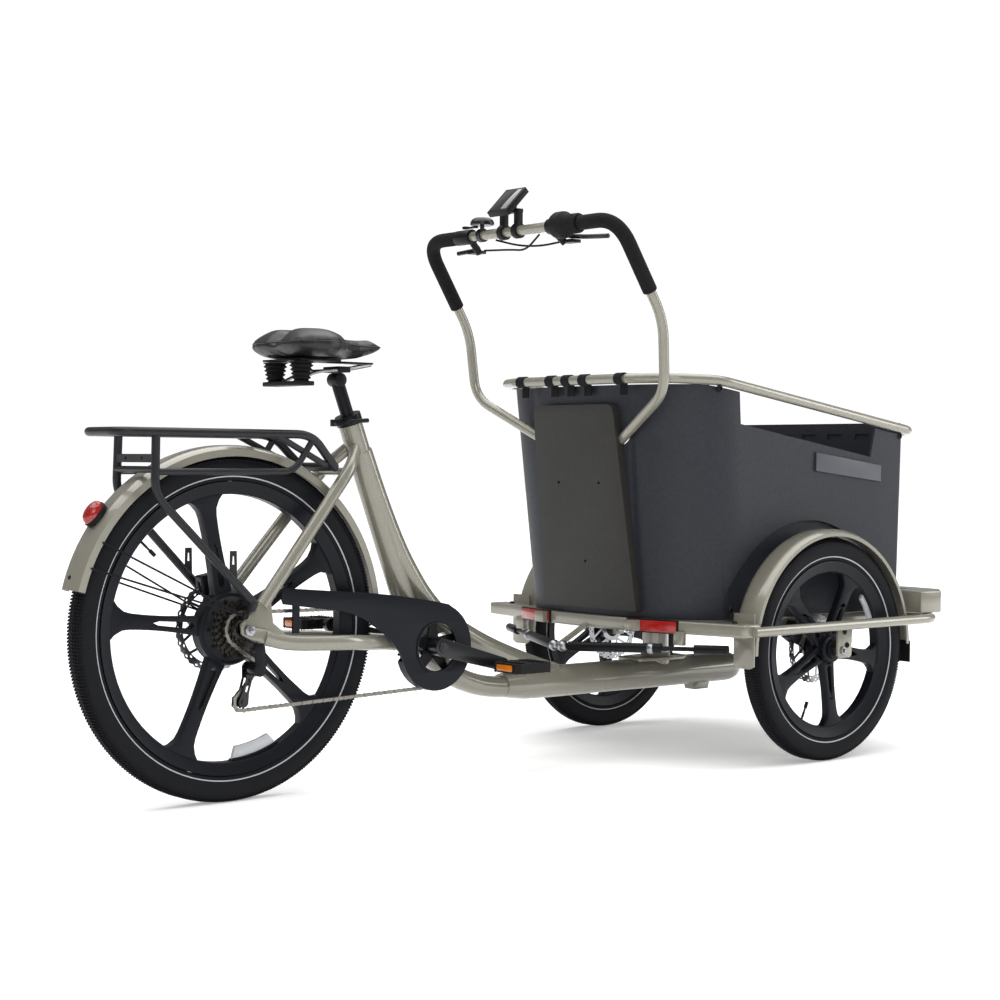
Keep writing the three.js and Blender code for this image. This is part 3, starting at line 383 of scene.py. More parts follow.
def tyre(name, radius, centre, across, side_band):
    """A tyre in the wheel's own place: across is its middle along Y, and side_band is the band's
    radius and its distance from the middle."""
    right_half = flowing(
        [
            (radius - 52, 0, 15),
            (radius - 50, 0, 18.4),
            (radius - 43, 0, 20.5),
            (radius - 35, 0, 23.8),
            (radius - 26, 0, 25),
            (radius - 17, 0, 24),
            (radius - 9, 0, 19.5),
            (radius - 3.6, 0, 11.5),
            (radius - 1.8, 0, 0),
        ]
    )
    profile = [(p.x, across + p.z) for p in right_half]
    profile += [(p.x, across - p.z) for p in reversed(right_half[:-1])]
    bm = bmesh.new()
    turned(bm, profile, centre, 144)
    make(name + "_casing", bm, tyre_rubber, BODY_OF[name], [name])

    block = bmesh.new()
    for depth, y, lean, slant, wide in (
        (1.8, 4.2, 3, 20, 6.8),
        (2.4, 11.2, 20, 30, 5.4),
        (5.2, 17.0, 42, 40, 4.6),
        (10.4, 21.4, 62, 45, 4.4),
    ):
        for s in (-1, 1):
            tilt = Matrix.Rotation(math.radians(s * lean), 4, "X")
            turn = Matrix.Rotation(math.radians(s * slant), 4, "Z")
            box_at(block, (3.1, wide, 2.4), 0, across + s * y, radius - depth, tilt @ turn)
    mesh = grown(
        ROUND,
        bpy.data.meshes.new("start"),
        block,
        {
            "Count": round(math.tau * radius / 6.6),
            "Centre": (centre[0], 0, centre[1]),
            "Material": tyre_rubber,
        },
    )
    finished(name + "_tread", mesh, tyre_rubber, BODY_OF[name], (), 20)

    bm = bmesh.new()
    for s in (-1, 1):
        face = across + s * side_band[1]
        low = side_band[0]
        strip = [(low - 0.9, face - s * 0.5), (low - 0.7, face + s * 0.1)]
        strip += [(low + 1.3, face + s * 1.0), (low + 1.6, face)]
        turned(bm, strip, centre, 144)
    make(name + "_reflex_band", bm, reflex_band, BODY_OF[name])


def axis_of(node):
    """The middle of a node's box, as x and z."""
    low, high = box_mm(node)
    return (low.x + high.x) / 2, (low.z + high.z) / 2


def wheel_of(node):
    """A round node's radius, its axis as x and z, and its middle along Y."""
    low, high = box_mm(node)
    return (high.x - low.x) / 2, axis_of(node), (low.y + high.y) / 2


for node in ("rear_tyre", "front_tyre_right", "front_tyre_left"):
    outer, hub_centre, middle_y = wheel_of(node)
    tyre(node, outer, hub_centre, middle_y, (outer - 43, 20.6))

# ---- Cast wheels --------------------------------------------------------------------------
# Magnesium wheels cast in one piece with five spokes, each split by a slot near the hub, and
# powder coated satin black. A valve stands in each rim.


def polar(radius, angle, centre=(0, 0)):
    """The point at a radius and an angle from a centre."""
    return centre[0] + radius * math.cos(angle), centre[1] + radius * math.sin(angle)


def pulled(start, corner, end, t):
    """A point on a smooth bend from start to end, pulled to the corner; t runs from 0 to 1."""
    return start * (1 - t) ** 2 + corner * 2 * t * (1 - t) + end * t * t


def moved(points, centre, angle=0.0):
    """Points in x and z, turned by an angle and moved to a centre."""
    c, s = math.cos(angle), math.sin(angle)
    return [(centre[0] + x * c - z * s, centre[1] + x * s + z * c) for x, z in points]


def plate(bm, outline, low, high, holes=(), upright=True):
    """A plate with its outline in x and z between two y, or lying flat in x and y between two z."""
    loops = [outline, *holes]
    corners = [p for loop in loops for p in loop]
    triangles = tessellate_polygon([[Vector((p[0], p[1], 0)) for p in loop] for loop in loops])
    near, far = (
        [bm.verts.new((p[0], depth, p[1]) if upright else (p[0], p[1], depth)) for p in corners]
        for depth in (low, high)
    )
    for t in triangles:
        bm.faces.new([near[i] for i in t])
        bm.faces.new([far[i] for i in reversed(t)])
    first = 0
    for loop in loops:
        count = len(loop)
        for k in range(count):
            a, b = first + k, first + (k + 1) % count
            bm.faces.new((near[a], near[b], far[b], far[a]))
        first += count


def soften(bm, width, angle=30, segments=2):
    """Rounds every edge sharper than the angle, as a casting or a pressed edge is rounded."""
    bmesh.ops.remove_doubles(bm, verts=bm.verts, dist=0.01)
    bmesh.ops.recalc_face_normals(bm, faces=bm.faces)
    sharp = [
        e for e in bm.edges if len(e.link_faces) == 2 and e.calc_face_angle() > math.radians(angle)
    ]
    bmesh.ops.bevel(
        bm, geom=sharp, offset=width, segments=segments, profile=0.5, affect="EDGES", clamp_overlap=True
    )


def rounded(corners, bend, steps=8):
    """Points and directions of a line through corners, with one bend for all or one for each."""
    corners = [Vector(c) for c in corners]
    bends = bend if isinstance(bend, list) else [bend] * len(corners)
    line = [(corners[0], corners[1] - corners[0])]
    for before, corner, after, bend in zip(corners, corners[1:], corners[2:], bends):
        start = corner + (before - corner).normalized() * min(bend, (before - corner).length * 0.48)
        end = corner + (after - corner).normalized() * min(bend, (after - corner).length * 0.48)
        for k in range(steps + 1):
            t = k / steps
            point = pulled(start, corner, end, t)
            line.append((point, (corner - start) * (1 - t) + (end - corner) * t))
    return line + [(corners[-1], corners[-1] - corners[-2])]


def oval(half_side, half_across=None, sides=24):
    half_across = half_across or half_side
    turns = [math.tau * k / sides for k in range(sides)]
    return [(half_side * math.cos(a), half_across * math.sin(a)) for a in turns]


def sweep(bm, line, section, loop=False):
    """Draws a section along a line. Its first axis starts along Y, or along X for a line along Y."""
    side = Vector((0, 1, 0)) if abs(line[0][1].normalized().y) < 0.9 else Vector((1, 0, 0))
    rings = []
    for point, direction in line:
        direction = direction.normalized()
        side = (side - direction * side.dot(direction)).normalized()
        across = side.cross(direction)
        rings.append([point + side * a + across * b for a, b in section])
    skin(bm, rings, loop)


def tube(bm, corners, radius, bend=40, sides=24, steps=8):
    sweep(bm, rounded(corners, bend, steps), oval(radius, sides=sides))


def rod(bm, start, end, radius, end_radius=None, sides=24):
    """A round bar, straight or tapering."""
    start, end = Vector(start), Vector(end)
    direction = (end - start).normalized()
    side = direction.orthogonal().normalized()
    across = direction.cross(side)
    rings = []
    for point, r in ((start, radius), (end, end_radius or radius)):
        rings.append([point + side * a + across * b for a, b in oval(r, sides=sides)])
    skin(bm, rings)


def ring_of_holes(count, radius, width, length, start=0.0, sides=10):
    """Outlines of count slots with round ends, set round a circle."""
    slot = [(radius + out, along) for out, along in reversed(oval(width, length, sides))]
    return [moved(slot, (0, 0), math.tau * k / count + start) for k in range(count)]


# Powder coat on a casting: satin, with a faint orange peel.
wheel_coat = coated(
    "satin_powder_coat_on_casting", "#0F1116", "#15171D", 0.36, 2.2, 0.05, patch=80, shader=DULL
)
# Moulded rubber and black plastic of valves and caps.
cap_plastic = coated("moulded_black_nylon", "#0F0F11", "#151518", 0.46, 1.1, 0.05, patch=40, shader=DULL)


def cast_wheel(name, radius, centre, across, hub_outer, hub_faces, first_spoke, valve_at):
    outer = radius - 52.4
    inner = outer - 25
    bm = bmesh.new()
    turned(
        bm,
        [
            (outer, across - 20),
            (outer - 2, across - 19.5),
            (inner + 12, across - 15.5),
            (inner + 2, across - 13.5),
            (inner, across - 11),
            (inner, across + 11),
            (inner + 2, across + 13.5),
            (inner + 12, across + 15.5),
            (outer - 2, across + 19.5),
            (outer, across + 20),
        ],
        centre,
        120,
    )
    spokes = bmesh.new()
    span = inner - hub_outer
    for k in range(5):
        angle = math.radians(first_spoke) + math.tau * k / 5
        half = []
        for n in range(15):
            t = n / 14
            flare = 26 * max(0.0, (t - 0.8) / 0.2) ** 2.2
            half.append((hub_outer - 6 + (span + 9) * t, 19.5 - 5.5 * math.sin(min(t, 0.9) * 3.0) + flare))
        outline = [(x, -w) for x, w in half] + [(x, w) for x, w in reversed(half)]
        slot_from, slot_to = hub_outer + 0.04 * span, hub_outer + 0.52 * span
        slot = [(slot_from, 0), (slot_from + 7, -6.2), (slot_to - 12, -4.0)]
        slot += [(slot_to, 0), (slot_to - 12, 4.0), (slot_from + 7, 6.2)]
        outline, slot = moved(outline, centre, angle), moved(slot, centre, angle)
        plate(spokes, outline, across - 10.5, across + 10.5, [slot])
    soften(spokes, 3.4, 40, 3)
    spoke_mesh = bpy.data.meshes.new("spokes")
    spokes.to_mesh(spoke_mesh)
    spokes.free()
    bm.from_mesh(spoke_mesh)
    hub = [(9, hub_faces[0]), (hub_outer - 3, hub_faces[0]), (hub_outer, hub_faces[0] + 4)]
    hub += [(hub_outer, hub_faces[1] - 4), (hub_outer - 3, hub_faces[1]), (9, hub_faces[1])]
    turned(bm, hub, centre, 64)
    make(name + "_casting", bm, wheel_coat, BODY_OF[name], [name])

    bm = bmesh.new()
    angle = math.radians(valve_at)
    for low, high, r in ((2, 20, 2.6), (20, 34, 2.2), (30, 44, 4.0)):
        (x, z), (end_x, end_z) = (polar(inner - d, angle, centre) for d in (low, high))
        rod(bm, (x, across, z), (end_x, across, end_z), r, sides=16)
    make(name + "_valve", bm, cap_plastic, BODY_OF[name])


rear_radius, rear_centre, _ = wheel_of("rear_tyre")
cast_wheel("rear_rim", rear_radius, rear_centre, 0, 72, (-16, 16), 30, 138)
for side, s in SIDES:
    front_radius, front_centre, middle_y = wheel_of(f"front_tyre_{side}")
    faces = sorted((middle_y - 33 * s, middle_y + 26 * s))
    cast_wheel(f"front_rim_{side}", front_radius, front_centre, middle_y, 30, faces, -10, -116)

# ---- Brake discs, hubs and sprockets ------------------------------------------------------
# Discs punched from stainless strip and ground, with slotted tracks on curved arms; a die-cast hub
# shell; and a stack of stamped steel sprockets darkened by oil.

# Ground stainless steel: bright, with a very fine grain.
ground_steel = coated(
    "ground_stainless_steel", "#A9ABAE", "#8E9093", 0.3, 0.7, 0.02, patch=30, metallic=1.0
)
# Oiled steel: darker, uneven film of oil and dust.
oiled_steel = coated("oiled_stamped_steel", "#4A4844", "#2B2926", 0.4, 1.4, 0.05, 0.1, 18, 0.9)
# Anodised black alloy: satin, almost even.
black_alloy = coated(
    "black_anodised_alloy", "#121316", "#1A1B1E", 0.34, 1.2, 0.03, patch=45, metallic=0.2, shader=DULL
)


def circle(radius, x=0.0, z=0.0, sides=48):
    return [(x + a, z + b) for a, b in oval(radius, sides=sides)]


def brake_disc(name, radius, centre, across, bore, arms):
    bm = bmesh.new()
    waves = 6 * arms
    edge = []
    for k in range(waves * 8):
        a = math.tau * k / (waves * 8)
        r = radius - 1.3 + 1.3 * math.cos(waves * a)
        edge.append(polar(r, a))
    slots = ring_of_holes(waves // 2, radius - 5.5, 1.9, 3.6) + ring_of_holes(
        waves // 2, radius - 11.5, 1.9, 3.2, math.pi / waves * 1.2
    )
    track = [moved(loop, centre) for loop in (edge, circle(radius - 16, sides=72), *slots)]
    plate(bm, track[0], across - 0.9, across + 0.9, track[1:])
    for k in range(arms):
        middle = math.tau * k / arms
        for lean in (-0.34, 0.34):
            line = [
                (bore + 6, middle - lean * 0.2),
                (radius * 0.55, middle + lean * 0.5),
                (radius - 14, middle + lean),
            ]
            ends = flowing([(r * math.cos(a), 0, r * math.sin(a)) for r, a in line], 5)
            path = [(p + Vector((centre[0], across, centre[1])), q - p) for p, q in zip(ends, ends[1:])]
            path.append((ends[-1] + Vector((centre[0], across, centre[1])), ends[-1] - ends[-2]))
            sweep(bm, path, [(-0.85, -2.6), (0.85, -2.6), (0.85, 2.6), (-0.85, 2.6)])
    near, far = across - 1.5, across + 1.5
    turned(bm, [(bore, near), (bore + 11, near), (bore + 11, far), (bore, far)], centre)
    make(name + "_disc", bm, ground_steel, BODY_OF[name], [name])


brake_disc("rear_rotor", 90, rear_centre, 43, 22, 6)
for side, s in SIDES:
    _, front_centre, middle_y = wheel_of(f"front_tyre_{side}")
    brake_disc(f"front_rotor_{side}", 80, front_centre, middle_y - 35 * s, 22, 6)
    bm = bmesh.new()
    low, high = sorted((middle_y + 26.5 * s, middle_y + 31 * s))
    turned(bm, [(8.5, low), (20, low), (21, (low + high) / 2), (18, high), (8.5, high)], front_centre, 32)
    make(f"front_hub_cap_{side}", bm, black_alloy, f"front_wheel_{side}")

bm = bmesh.new()
hub_profile = [(8, -28), (38, -28), (43, -26), (61, -19), (64, -15)]
hub_profile += [(64, 15), (61, 19), (50, 37), (46, 40), (8, 40)]
turned(bm, hub_profile, rear_centre, 72)
for k in range(10):
    angle = math.tau * k / 10
    x, z = polar(56, angle, rear_centre)
    rod(bm, (x, -21.5, z), (x, -24.5, z), 3.4, sides=12)
make("rear_hub_shell", bm, black_alloy, "rear_wheel", ["rear_hub"])


def toothed(count, pitch=12.7):
    """The outline of a chain wheel with this many teeth."""
    radius = count * pitch / math.tau
    outline = []
    for k in range(count):
        for share, out in ((-0.32, -3.6), (-0.14, 2.4), (0.14, 2.4), (0.32, -3.6)):
            a = math.tau * (k + share) / count
            outline.append(polar(radius + out, a))
    return outline


bm = bmesh.new()
for teeth, y in ((26, -32), (24, -35.6), (21, -39.2), (18, -42.9), (16, -47), (13, -51), (11, -55)):
    wheel = moved(toothed(teeth), rear_centre)
    plate(bm, wheel, y - 0.9, y + 0.9, [moved(circle(13, sides=24), rear_centre)])
turned(bm, [(12.5, -58), (17, -58), (19, -56), (24, -34), (24, -30), (12.5, -30)], rear_centre, 32)
make("sprocket_stack", bm, oiled_steel, "cassette", ["cassette"])

bm = bmesh.new()
x, z = rear_centre
for s in (-1, 1):
    rod(bm, (x, 78 * s, z), (x, 86 * s, z), 11, sides=6)
    rod(bm, (x, 86 * s, z), (x, 93 * s, z), 4.6, sides=20)
rod(bm, (x, -84, z), (x, 84, z), 6.8)
soften(bm, 0.6, 40)
make("rear_axle_and_nuts", bm, ground_steel, "rear_frame", ["rear_axle"])

# ---- Chain, cranks and pedals -------------------------------------------------------------
# A half-inch roller chain of pressed links, a 42-tooth ring on a forged spider, forged alloy cranks
# and moulded platform pedals with amber reflectors.

low, high = box_mm("chainring")
CHAIN_Y = (low.y + high.y) / 2
BRACKET, GUIDE, TENSION = (axis_of(node) for node in ("chainring", "guide_pulley", "tension_pulley"))
LINK = 12.7


def chain_loop():
    """The chain's centre line: around the ring, a sprocket and both pulleys. A wheel's turn is 1
    where the chain runs anticlockwise around it and -1 where it runs clockwise."""
    wheels = [(*BRACKET, 84.9, 1), (*rear_centre, 32.6, 1), (*GUIDE, 17, -1), (*TENSION, 17, 1)]

    def touch(a, b):
        dx, dz = b[0] - a[0], b[1] - a[1]
        lean = math.asin((a[3] * a[2] - b[3] * b[2]) / math.hypot(dx, dz))
        normal = math.atan2(dz, dx) - math.pi / 2 + lean
        return [polar(w[3] * w[2], normal, w) for w in (a, b)]

    points = []
    for i, wheel in enumerate(wheels):
        arrive = touch(wheels[i - 1], wheel)[1]
        leave = touch(wheel, wheels[(i + 1) % len(wheels)])[0]
        start = math.atan2(arrive[1] - wheel[1], arrive[0] - wheel[0])
        swept = math.atan2(leave[1] - wheel[1], leave[0] - wheel[0]) - start
        while swept * wheel[3] < 0:
            swept += math.tau * wheel[3]
        steps = max(4, math.ceil(abs(swept) / 0.12))
        for k in range(steps + 1):
            x, z = polar(wheel[2], start + swept * k / steps, wheel)
            points.append((x, CHAIN_Y, z))
    return points


def path_tree():
    """Copies of a unit along a closed path that stands upright, every second step."""
    tree, given = tree_of(
        "copies_along_a_path",
        Geometry="Geometry",
        Unit="Object",
        Count="Int",
        Parity="Int",
        Material="Material",
    )
    curve = add(tree, "GeometryNodeMeshToCurve", {"Mesh": given["Geometry"]})
    points = add(
        tree,
        "GeometryNodeCurveToPoints",
        {"Curve": curve.outputs[0], "Count": given["Count"]},
        mode="COUNT",
    )
    turn = add(
        tree,
        "FunctionNodeAlignRotationToVector",
        {"Vector": points.outputs["Tangent"]},
        axis="X",
        pivot_axis="Y",
    )
    unit = add(tree, "GeometryNodeObjectInfo", {"Object": given["Unit"]})
    index = add(tree, "GeometryNodeInputIndex")
    odd = add(tree, "ShaderNodeMath", {0: index.outputs[0], 1: 2.0}, operation="MODULO")
    chosen = add(
        tree,
        "FunctionNodeCompare",
        {"A": odd.outputs[0], "B": given["Parity"], "Epsilon": 0.1},
        data_type="FLOAT",
        operation="EQUAL",
    )
    copies = add(
        tree,
        "GeometryNodeInstanceOnPoints",
        {
            "Points": points.outputs[0],
            "Selection": chosen.outputs[0],
            "Instance": unit.outputs["Geometry"],
            "Rotation": turn.outputs[0],
        },
    )
    close_tree(tree, copies.outputs[0], given["Material"])
    return tree


route = chain_loop()
length = sum(math.dist(a, b) for a, b in zip(route, route[1:] + route[:1]))
links = 2 * round(length / LINK / 2)
pitch = length / links
PATH = path_tree()


def parted(mesh, count, test):
    """Splits a mesh of count equal links into those that pass the test and the rest."""
    places = np.empty(len(mesh.vertices) * 3)
    mesh.vertices.foreach_get("co", places)
    middles = places.reshape(count, -1, 3).mean(axis=1)
    chosen = [test(TO_MM @ Vector(m)) for m in middles]
    each = len(mesh.vertices) // count
    halves = []
    for keep in (True, False):
        bm = bmesh.new()
        bm.from_mesh(mesh)
        gone = [v for v in bm.verts if chosen[v.index // each] != keep]
        bmesh.ops.delete(bm, geom=gone, context="VERTS")
        halves.append(bpy.data.meshes.new("half"))
        bm.to_mesh(halves[-1])
        bm.free()
    return halves


# The lower run runs from the sprung cage at its rear end to the chain wheel at its front end; it is fixed in
# place and rides on no body.
LOWER_RUN = (
    "rear_frame",
    "derailleur_cage",
    TO_ROW @ Vector((380, CHAIN_Y, 198)),
    TO_ROW @ Vector((42, CHAIN_Y, 198)),
)
# Nickel-plated links: pale grey metal under a thin film of oil.
plated_steel = coated("oiled_nickel_plate", "#97948E", "#6F6C67", 0.34, 1.2, 0.04, 0.08, 14, 1.0)
for parity, name, half_gap in ((0, "inner_links", 1.9), (1, "outer_links", 2.9)):
    path = bpy.data.meshes.new("chain_path")
    path.from_pydata(route, [(k, (k + 1) % len(route)) for k in range(len(route))], [])
    link = bmesh.new()
    waist = []
    for k in range(20):
        a = math.tau * k / 20
        x = pitch / 2 * math.copysign(1, math.cos(a)) if abs(math.cos(a)) > 0.3 else 0
        waist.append((x + 3.9 * math.cos(a), (3.9 if x else 2.9) * math.sin(a)))
    for s in (-1, 1):
        plate(link, waist, *sorted((s * half_gap, s * (half_gap + 0.8))))
        if parity:
            continue
        rod(link, (s * pitch / 2, -2.9, 0), (s * pitch / 2, 2.9, 0), 3.3, sides=10)
    mesh = grown(PATH, path, link, {"Count": links, "Parity": parity, "Material": plated_steel})
    lower, upper = parted(mesh, links // 2, lambda p: p.z < GUIDE[1] - 4 and p.x < 400)
    stood_for = ["chain"] if parity else []
    finished("chain_" + name, upper, plated_steel, "rear_frame", stood_for, 30)
    finished("chain_lower_" + name, lower, plated_steel, LOWER_RUN, (), 30)

# Forged and painted black: satin, close-grained.
forged_black = coated(
    "satin_black_forged_alloy", "#0F1013", "#15161A", 0.28, 1.5, 0.04, patch=50, metallic=0.1
)
bm = bmesh.new()
ring = moved(toothed(42), BRACKET)
plate(bm, ring, CHAIN_Y - 1.6, CHAIN_Y + 1.6, [moved(circle(66, sides=60), BRACKET)])
for k in range(5):
    angle = math.tau * k / 5 + 0.3
    arm = [(14, -15), (60, -7.5), (72, -7.5), (72, 7.5), (60, 7.5), (14, 15)]
    plate(bm, moved(arm, BRACKET, angle), CHAIN_Y - 8, CHAIN_Y - 3)
soften(bm, 0.5, 50, 1)
make("chain_wheel", bm, black_alloy, "crank", ["chainring"])


for side, s in SIDES:
    pedal_x, pedal_z = axis_of(f"pedal_{side}")
    along = math.atan2(pedal_z - BRACKET[1], pedal_x - BRACKET[0])
    reach = math.hypot(pedal_z - BRACKET[1], pedal_x - BRACKET[0])
    bm = bmesh.new()
    turns = [math.pi / 2 + math.pi * k / 12 for k in range(13)]
    arm = [polar(19, a) for a in turns]
    arm += [polar(14, a + math.pi, (reach, 0)) for a in turns]
    plate(bm, moved(arm, BRACKET, along), *sorted((76 * s, 90 * s)))
    soften(bm, 3.6, 40, 3)
    x, z = BRACKET
    rod(bm, (x, 44 * s, z), (x, 76.5 * s, z), 18, sides=40)
    rod(bm, (x, 89 * s, z), (x, 93 * s, z), 12, 10.5, 40)
    rod(bm, (x, 93 * s, z), (x, 94 * s, z), 6, sides=6)
    make(f"crank_arm_{side}", bm, forged_black, "crank", [f"crank_{side}"])

# Glass-filled nylon, moulded: slightly coarse and grey on its wear edges.
pedal_nylon = coated("glass_filled_nylon", "#101012", "#19191B", 0.5, 0.8, 0.1, patch=25, shader=DULL)
# Cut-corner reflector plastic: clear-dyed acrylic over small prisms.
PRISM = {"Transmission Weight": 0.25, "IOR": 1.49, "Coat Weight": 0.6, "Coat Roughness": 0.08}
amber_reflector = coated("amber_prism_acrylic", "#F08A10", "#D96E06", 0.22, 2.4, 0.5, patch=12, shader=PRISM)
for side, s in SIDES:
    pedal_x, pedal_z = axis_of(f"pedal_{side}")
    middle = 150 * s
    bm = bmesh.new()
    outline = [(-49, -34), (-40, -43), (40, -43), (49, -34), (49, 34), (40, 43), (-40, 43), (-49, 34)]
    window = ((-11, -10), (11, -10), (11, 10), (-11, 10))
    windows = [moved(window, (pedal_x + x, middle + y)) for x in (-26, 26) for y in (-24, 0, 24)]
    outline = moved(outline, (pedal_x, middle))
    plate(bm, outline, pedal_z - 10, pedal_z + 10, windows, upright=False)
    soften(bm, 1.6, 40, 2)
    for x in (-44, -24, 0, 24, 44):
        for y in range(-36, 37, 9):
            for up in (-1, 1):
                start = (pedal_x + x, middle + y, pedal_z + 9.5 * up)
                rod(bm, start, (start[0], start[1], pedal_z + 12 * up), 1.7, 1.1, 6)
    rod(bm, (pedal_x, 92 * s, pedal_z), (pedal_x, 192 * s, pedal_z), 7, sides=20)
    make(f"pedal_platform_{side}", bm, pedal_nylon, f"pedal_{side}", [f"pedal_{side}"])
    bm = bmesh.new()
    for end in (-1, 1):
        box_at(bm, (3, 48, 13), pedal_x + end * 49.8, middle, pedal_z)
    soften(bm, 0.8, 40)
    make(f"pedal_reflectors_{side}", bm, amber_reflector, f"pedal_{side}")

# ---- Derailleur, chain guard and rear caliper ---------------------------------------------
# A pressed and moulded derailleur, a smooth injection-moulded guard around the chain's upper run,
# and a cast caliper.


def refined(node, surface, width, segments=2, angle=30):
    """The node's own shape with its sharp edges rounded."""
    bm = bmesh.new()
    bm.from_mesh(frame["nodes"][node].data)
    bm.transform(TO_MM)
    bmesh.ops.remove_doubles(bm, verts=bm.verts, dist=0.01)
    bmesh.ops.dissolve_limit(bm, angle_limit=math.radians(0.6), verts=bm.verts, edges=bm.edges)
    soften(bm, width, angle, segments)
    return make(node + "_finished", bm, surface, BODY_OF[node], [node])


refined("derailleur", black_alloy, 2.0)
along = math.atan2(TENSION[1] - GUIDE[1], TENSION[0] - GUIDE[0])
reach = math.dist(GUIDE, TENSION)
half_turn = [math.pi / 2 + math.pi * k / 10 for k in range(11)]
arm = [polar(13, a) for a in half_turn]
arm += [(reach * 0.3, -7), (reach * 0.7, -7)]
arm += [polar(-11, a, (reach, 0)) for a in half_turn]
arm += [(reach * 0.7, 7), (reach * 0.3, 7)]
shares = ((0.3, -2.6), (0.68, -2.6), (0.72, 0), (0.68, 2.6), (0.3, 2.6))
slot_outline = [(reach * share, across) for share, across in shares]
bm = bmesh.new()
for y in (-55.5, -40.5):
    plate(bm, moved(arm, GUIDE, along), y, y + 2, [moved(slot_outline, GUIDE, along)])
soften(bm, 0.5, 40, 1)
for x, z in (GUIDE, TENSION):
    rod(bm, (x, -57.2, z), (x, -38.5, z), 3.2, sides=16)
    rod(bm, (x, -57.6, z), (x, -55.4, z), 5.4, sides=6)
make("pulley_cage", bm, forged_black, "derailleur_cage", ["derailleur_cage"])
refined("rear_caliper", black_alloy, 3.0)
for name, centre in (("guide_pulley", GUIDE), ("tension_pulley", TENSION)):
    bm = bmesh.new()
    wheel = moved(toothed(10, 6.9), centre)
    holes = [circle(3.6, sides=20), *ring_of_holes(5, 5.6, 0.9, 1.2)]
    plate(bm, wheel, CHAIN_Y - 1.8, CHAIN_Y + 1.8, [moved(hole, centre) for hole in holes])
    make(name + "_wheel", bm, pedal_nylon, name, [name])


def bend(start, corner, end, steps=12):
    """Points of a smooth bend from start towards end, pulled to the corner."""
    line = []
    for k in range(1, steps + 1):
        line.append(tuple(pulled(a, b, c, k / steps) for a, b, c in zip(start, corner, end)))
    return line


def arc(centre, across, radius, first, last, steps=56):
    """Points and directions along an arc, from one angle to another in degrees."""
    line = []
    way = math.copysign(1, last - first)
    for k in range(steps + 1):
        a = math.radians(first + (last - first) * k / steps)
        x, z = polar(radius, a, centre)
        line.append((Vector((x, across, z)), Vector((-math.sin(a) * way, 0, math.cos(a) * way))))
    return line


# Smooth injection-moulded polypropylene, blue-black and half glossy.
guard_plastic = coated(
    "smooth_moulded_polypropylene", "#0F1117", "#14161D", 0.32, 3.0, 0.03, patch=150, shader=DULL
)
disc = 91
outline = [(86, 416), (300, 398)]
outline += bend((300, 398), (400, 388), (BRACKET[0] + 30, BRACKET[1] + disc - 3))
first, last = math.radians(70), -math.pi * 0.93
turns = [first + (last - first) * k / 40 for k in range(1, 41)]
outline += [polar(disc, a, BRACKET) for a in turns]
outline += bend(outline[-1], (352, 306), (300, 334))
outline += bend((300, 334), (262, 362), (200, 368)) + [(86, 384)]
outline += bend((86, 384), (76, 400), (86, 416), 6)[:-1]
bm = bmesh.new()
plate(bm, outline, -69, -65, [circle(50, *BRACKET, 64)])
soften(bm, 1.4, 40, 3)
turned(bm, [(50, -70.5), (52, -70.8), (54, -70.5), (54, -64), (50, -64)], BRACKET, 72)
plate(bm, [(110, 326), (126, 326), (126, 388), (110, 388)], -65.5, -62)
wall = arc(BRACKET, -57, disc - 1.2, 70, -163, 48)
sweep(bm, wall, [(-10, -1), (10, -1), (10, 1), (-10, 1)])
make("chain_guard_shell", bm, guard_plastic, "rear_frame", ["chain_guard"])

# ---- Rear frame ---------------------------------------------------------------------------
# Butted steel tubes, mitred and brazed smooth, then primed and coated in a glossy warm grey with a
# trace of metal flake under the lacquer.

# Two-coat gloss paint with a fine flake: pale warm grey that turns cooler in its highlights.
LACQUER = {"Coat Weight": 0.7, "Coat Roughness": 0.06}
greige_paint = coated(
    "glossy_greige_enamel", "#807E72", "#8A877A", 0.27, 0.8, 0.012, 0.04, 260, 0.25, LACQUER
)


def through(points, steps=6):
    """Points and directions of a smooth line through a few points."""
    line = flowing(points, steps)
    ways = [b - a for a, b in zip(line, line[2:])]
    return list(zip(line, [line[1] - line[0], *ways, line[-1] - line[-2]]))


SEAT_TOP = Vector((292, 0, 740))
BRACKET_MIDDLE = Vector((BRACKET[0], 0, BRACKET[1]))
SEAT_AXIS = (SEAT_TOP - BRACKET_MIDDLE).normalized()


def on_seat_axis(distance):
    return SEAT_TOP + SEAT_AXIS * distance


def pour(bm, other):
    """Adds another shape to this one."""
    holder = bpy.data.meshes.new("part")
    other.to_mesh(holder)
    other.free()
    bm.from_mesh(holder)
    bpy.data.meshes.remove(holder)


AXLE_Z = rear_centre[1]
POST_X = 1172
BEAM_Z = 178
bm = bmesh.new()
sweep(bm, [(on_seat_axis(0), -SEAT_AXIS), (BRACKET_MIDDLE, -SEAT_AXIS)], oval(26, 24, 40))
swoop = [(316, 0, 684), (352, 0, 598), (396, 0, 505), (434, 0, 440), (482, 0, 376), (536, 0, 328)]
swoop += [(604, 0, 289), (670, 0, 258), (740, 0, 231), (800, 0, 210), (864, 0, 190)]
sweep(bm, through(swoop), oval(28, 25, 40))
lower = [BRACKET_MIDDLE, (520, 0, 240), (566, 0, 209), (616, 0, 189)]
lower += [(668, 0, 178), (730, 0, 174), (800, 0, 172)]
sweep(bm, through(lower), oval(28, 23, 40))
rings = []
for x, half_side, half_up in (
    (700, 30, 26),
    (760, 41, 34),
    (800, 42, 35),
    (1395, 42, 35),
    (1412, 40, 34),
    (1425, 35, 30),
    (1432, 24, 22),
):
    rings.append([Vector((x, a, BEAM_Z + b)) for a, b in oval(half_side, half_up, 48)])
skin(bm, rings)
gusset = [(300, 712), (352, 610), (400, 505), (452, 420), (520, 348)]
gusset += [(560, 316), (500, 296), (468, 300), (430, 372), (372, 520)]
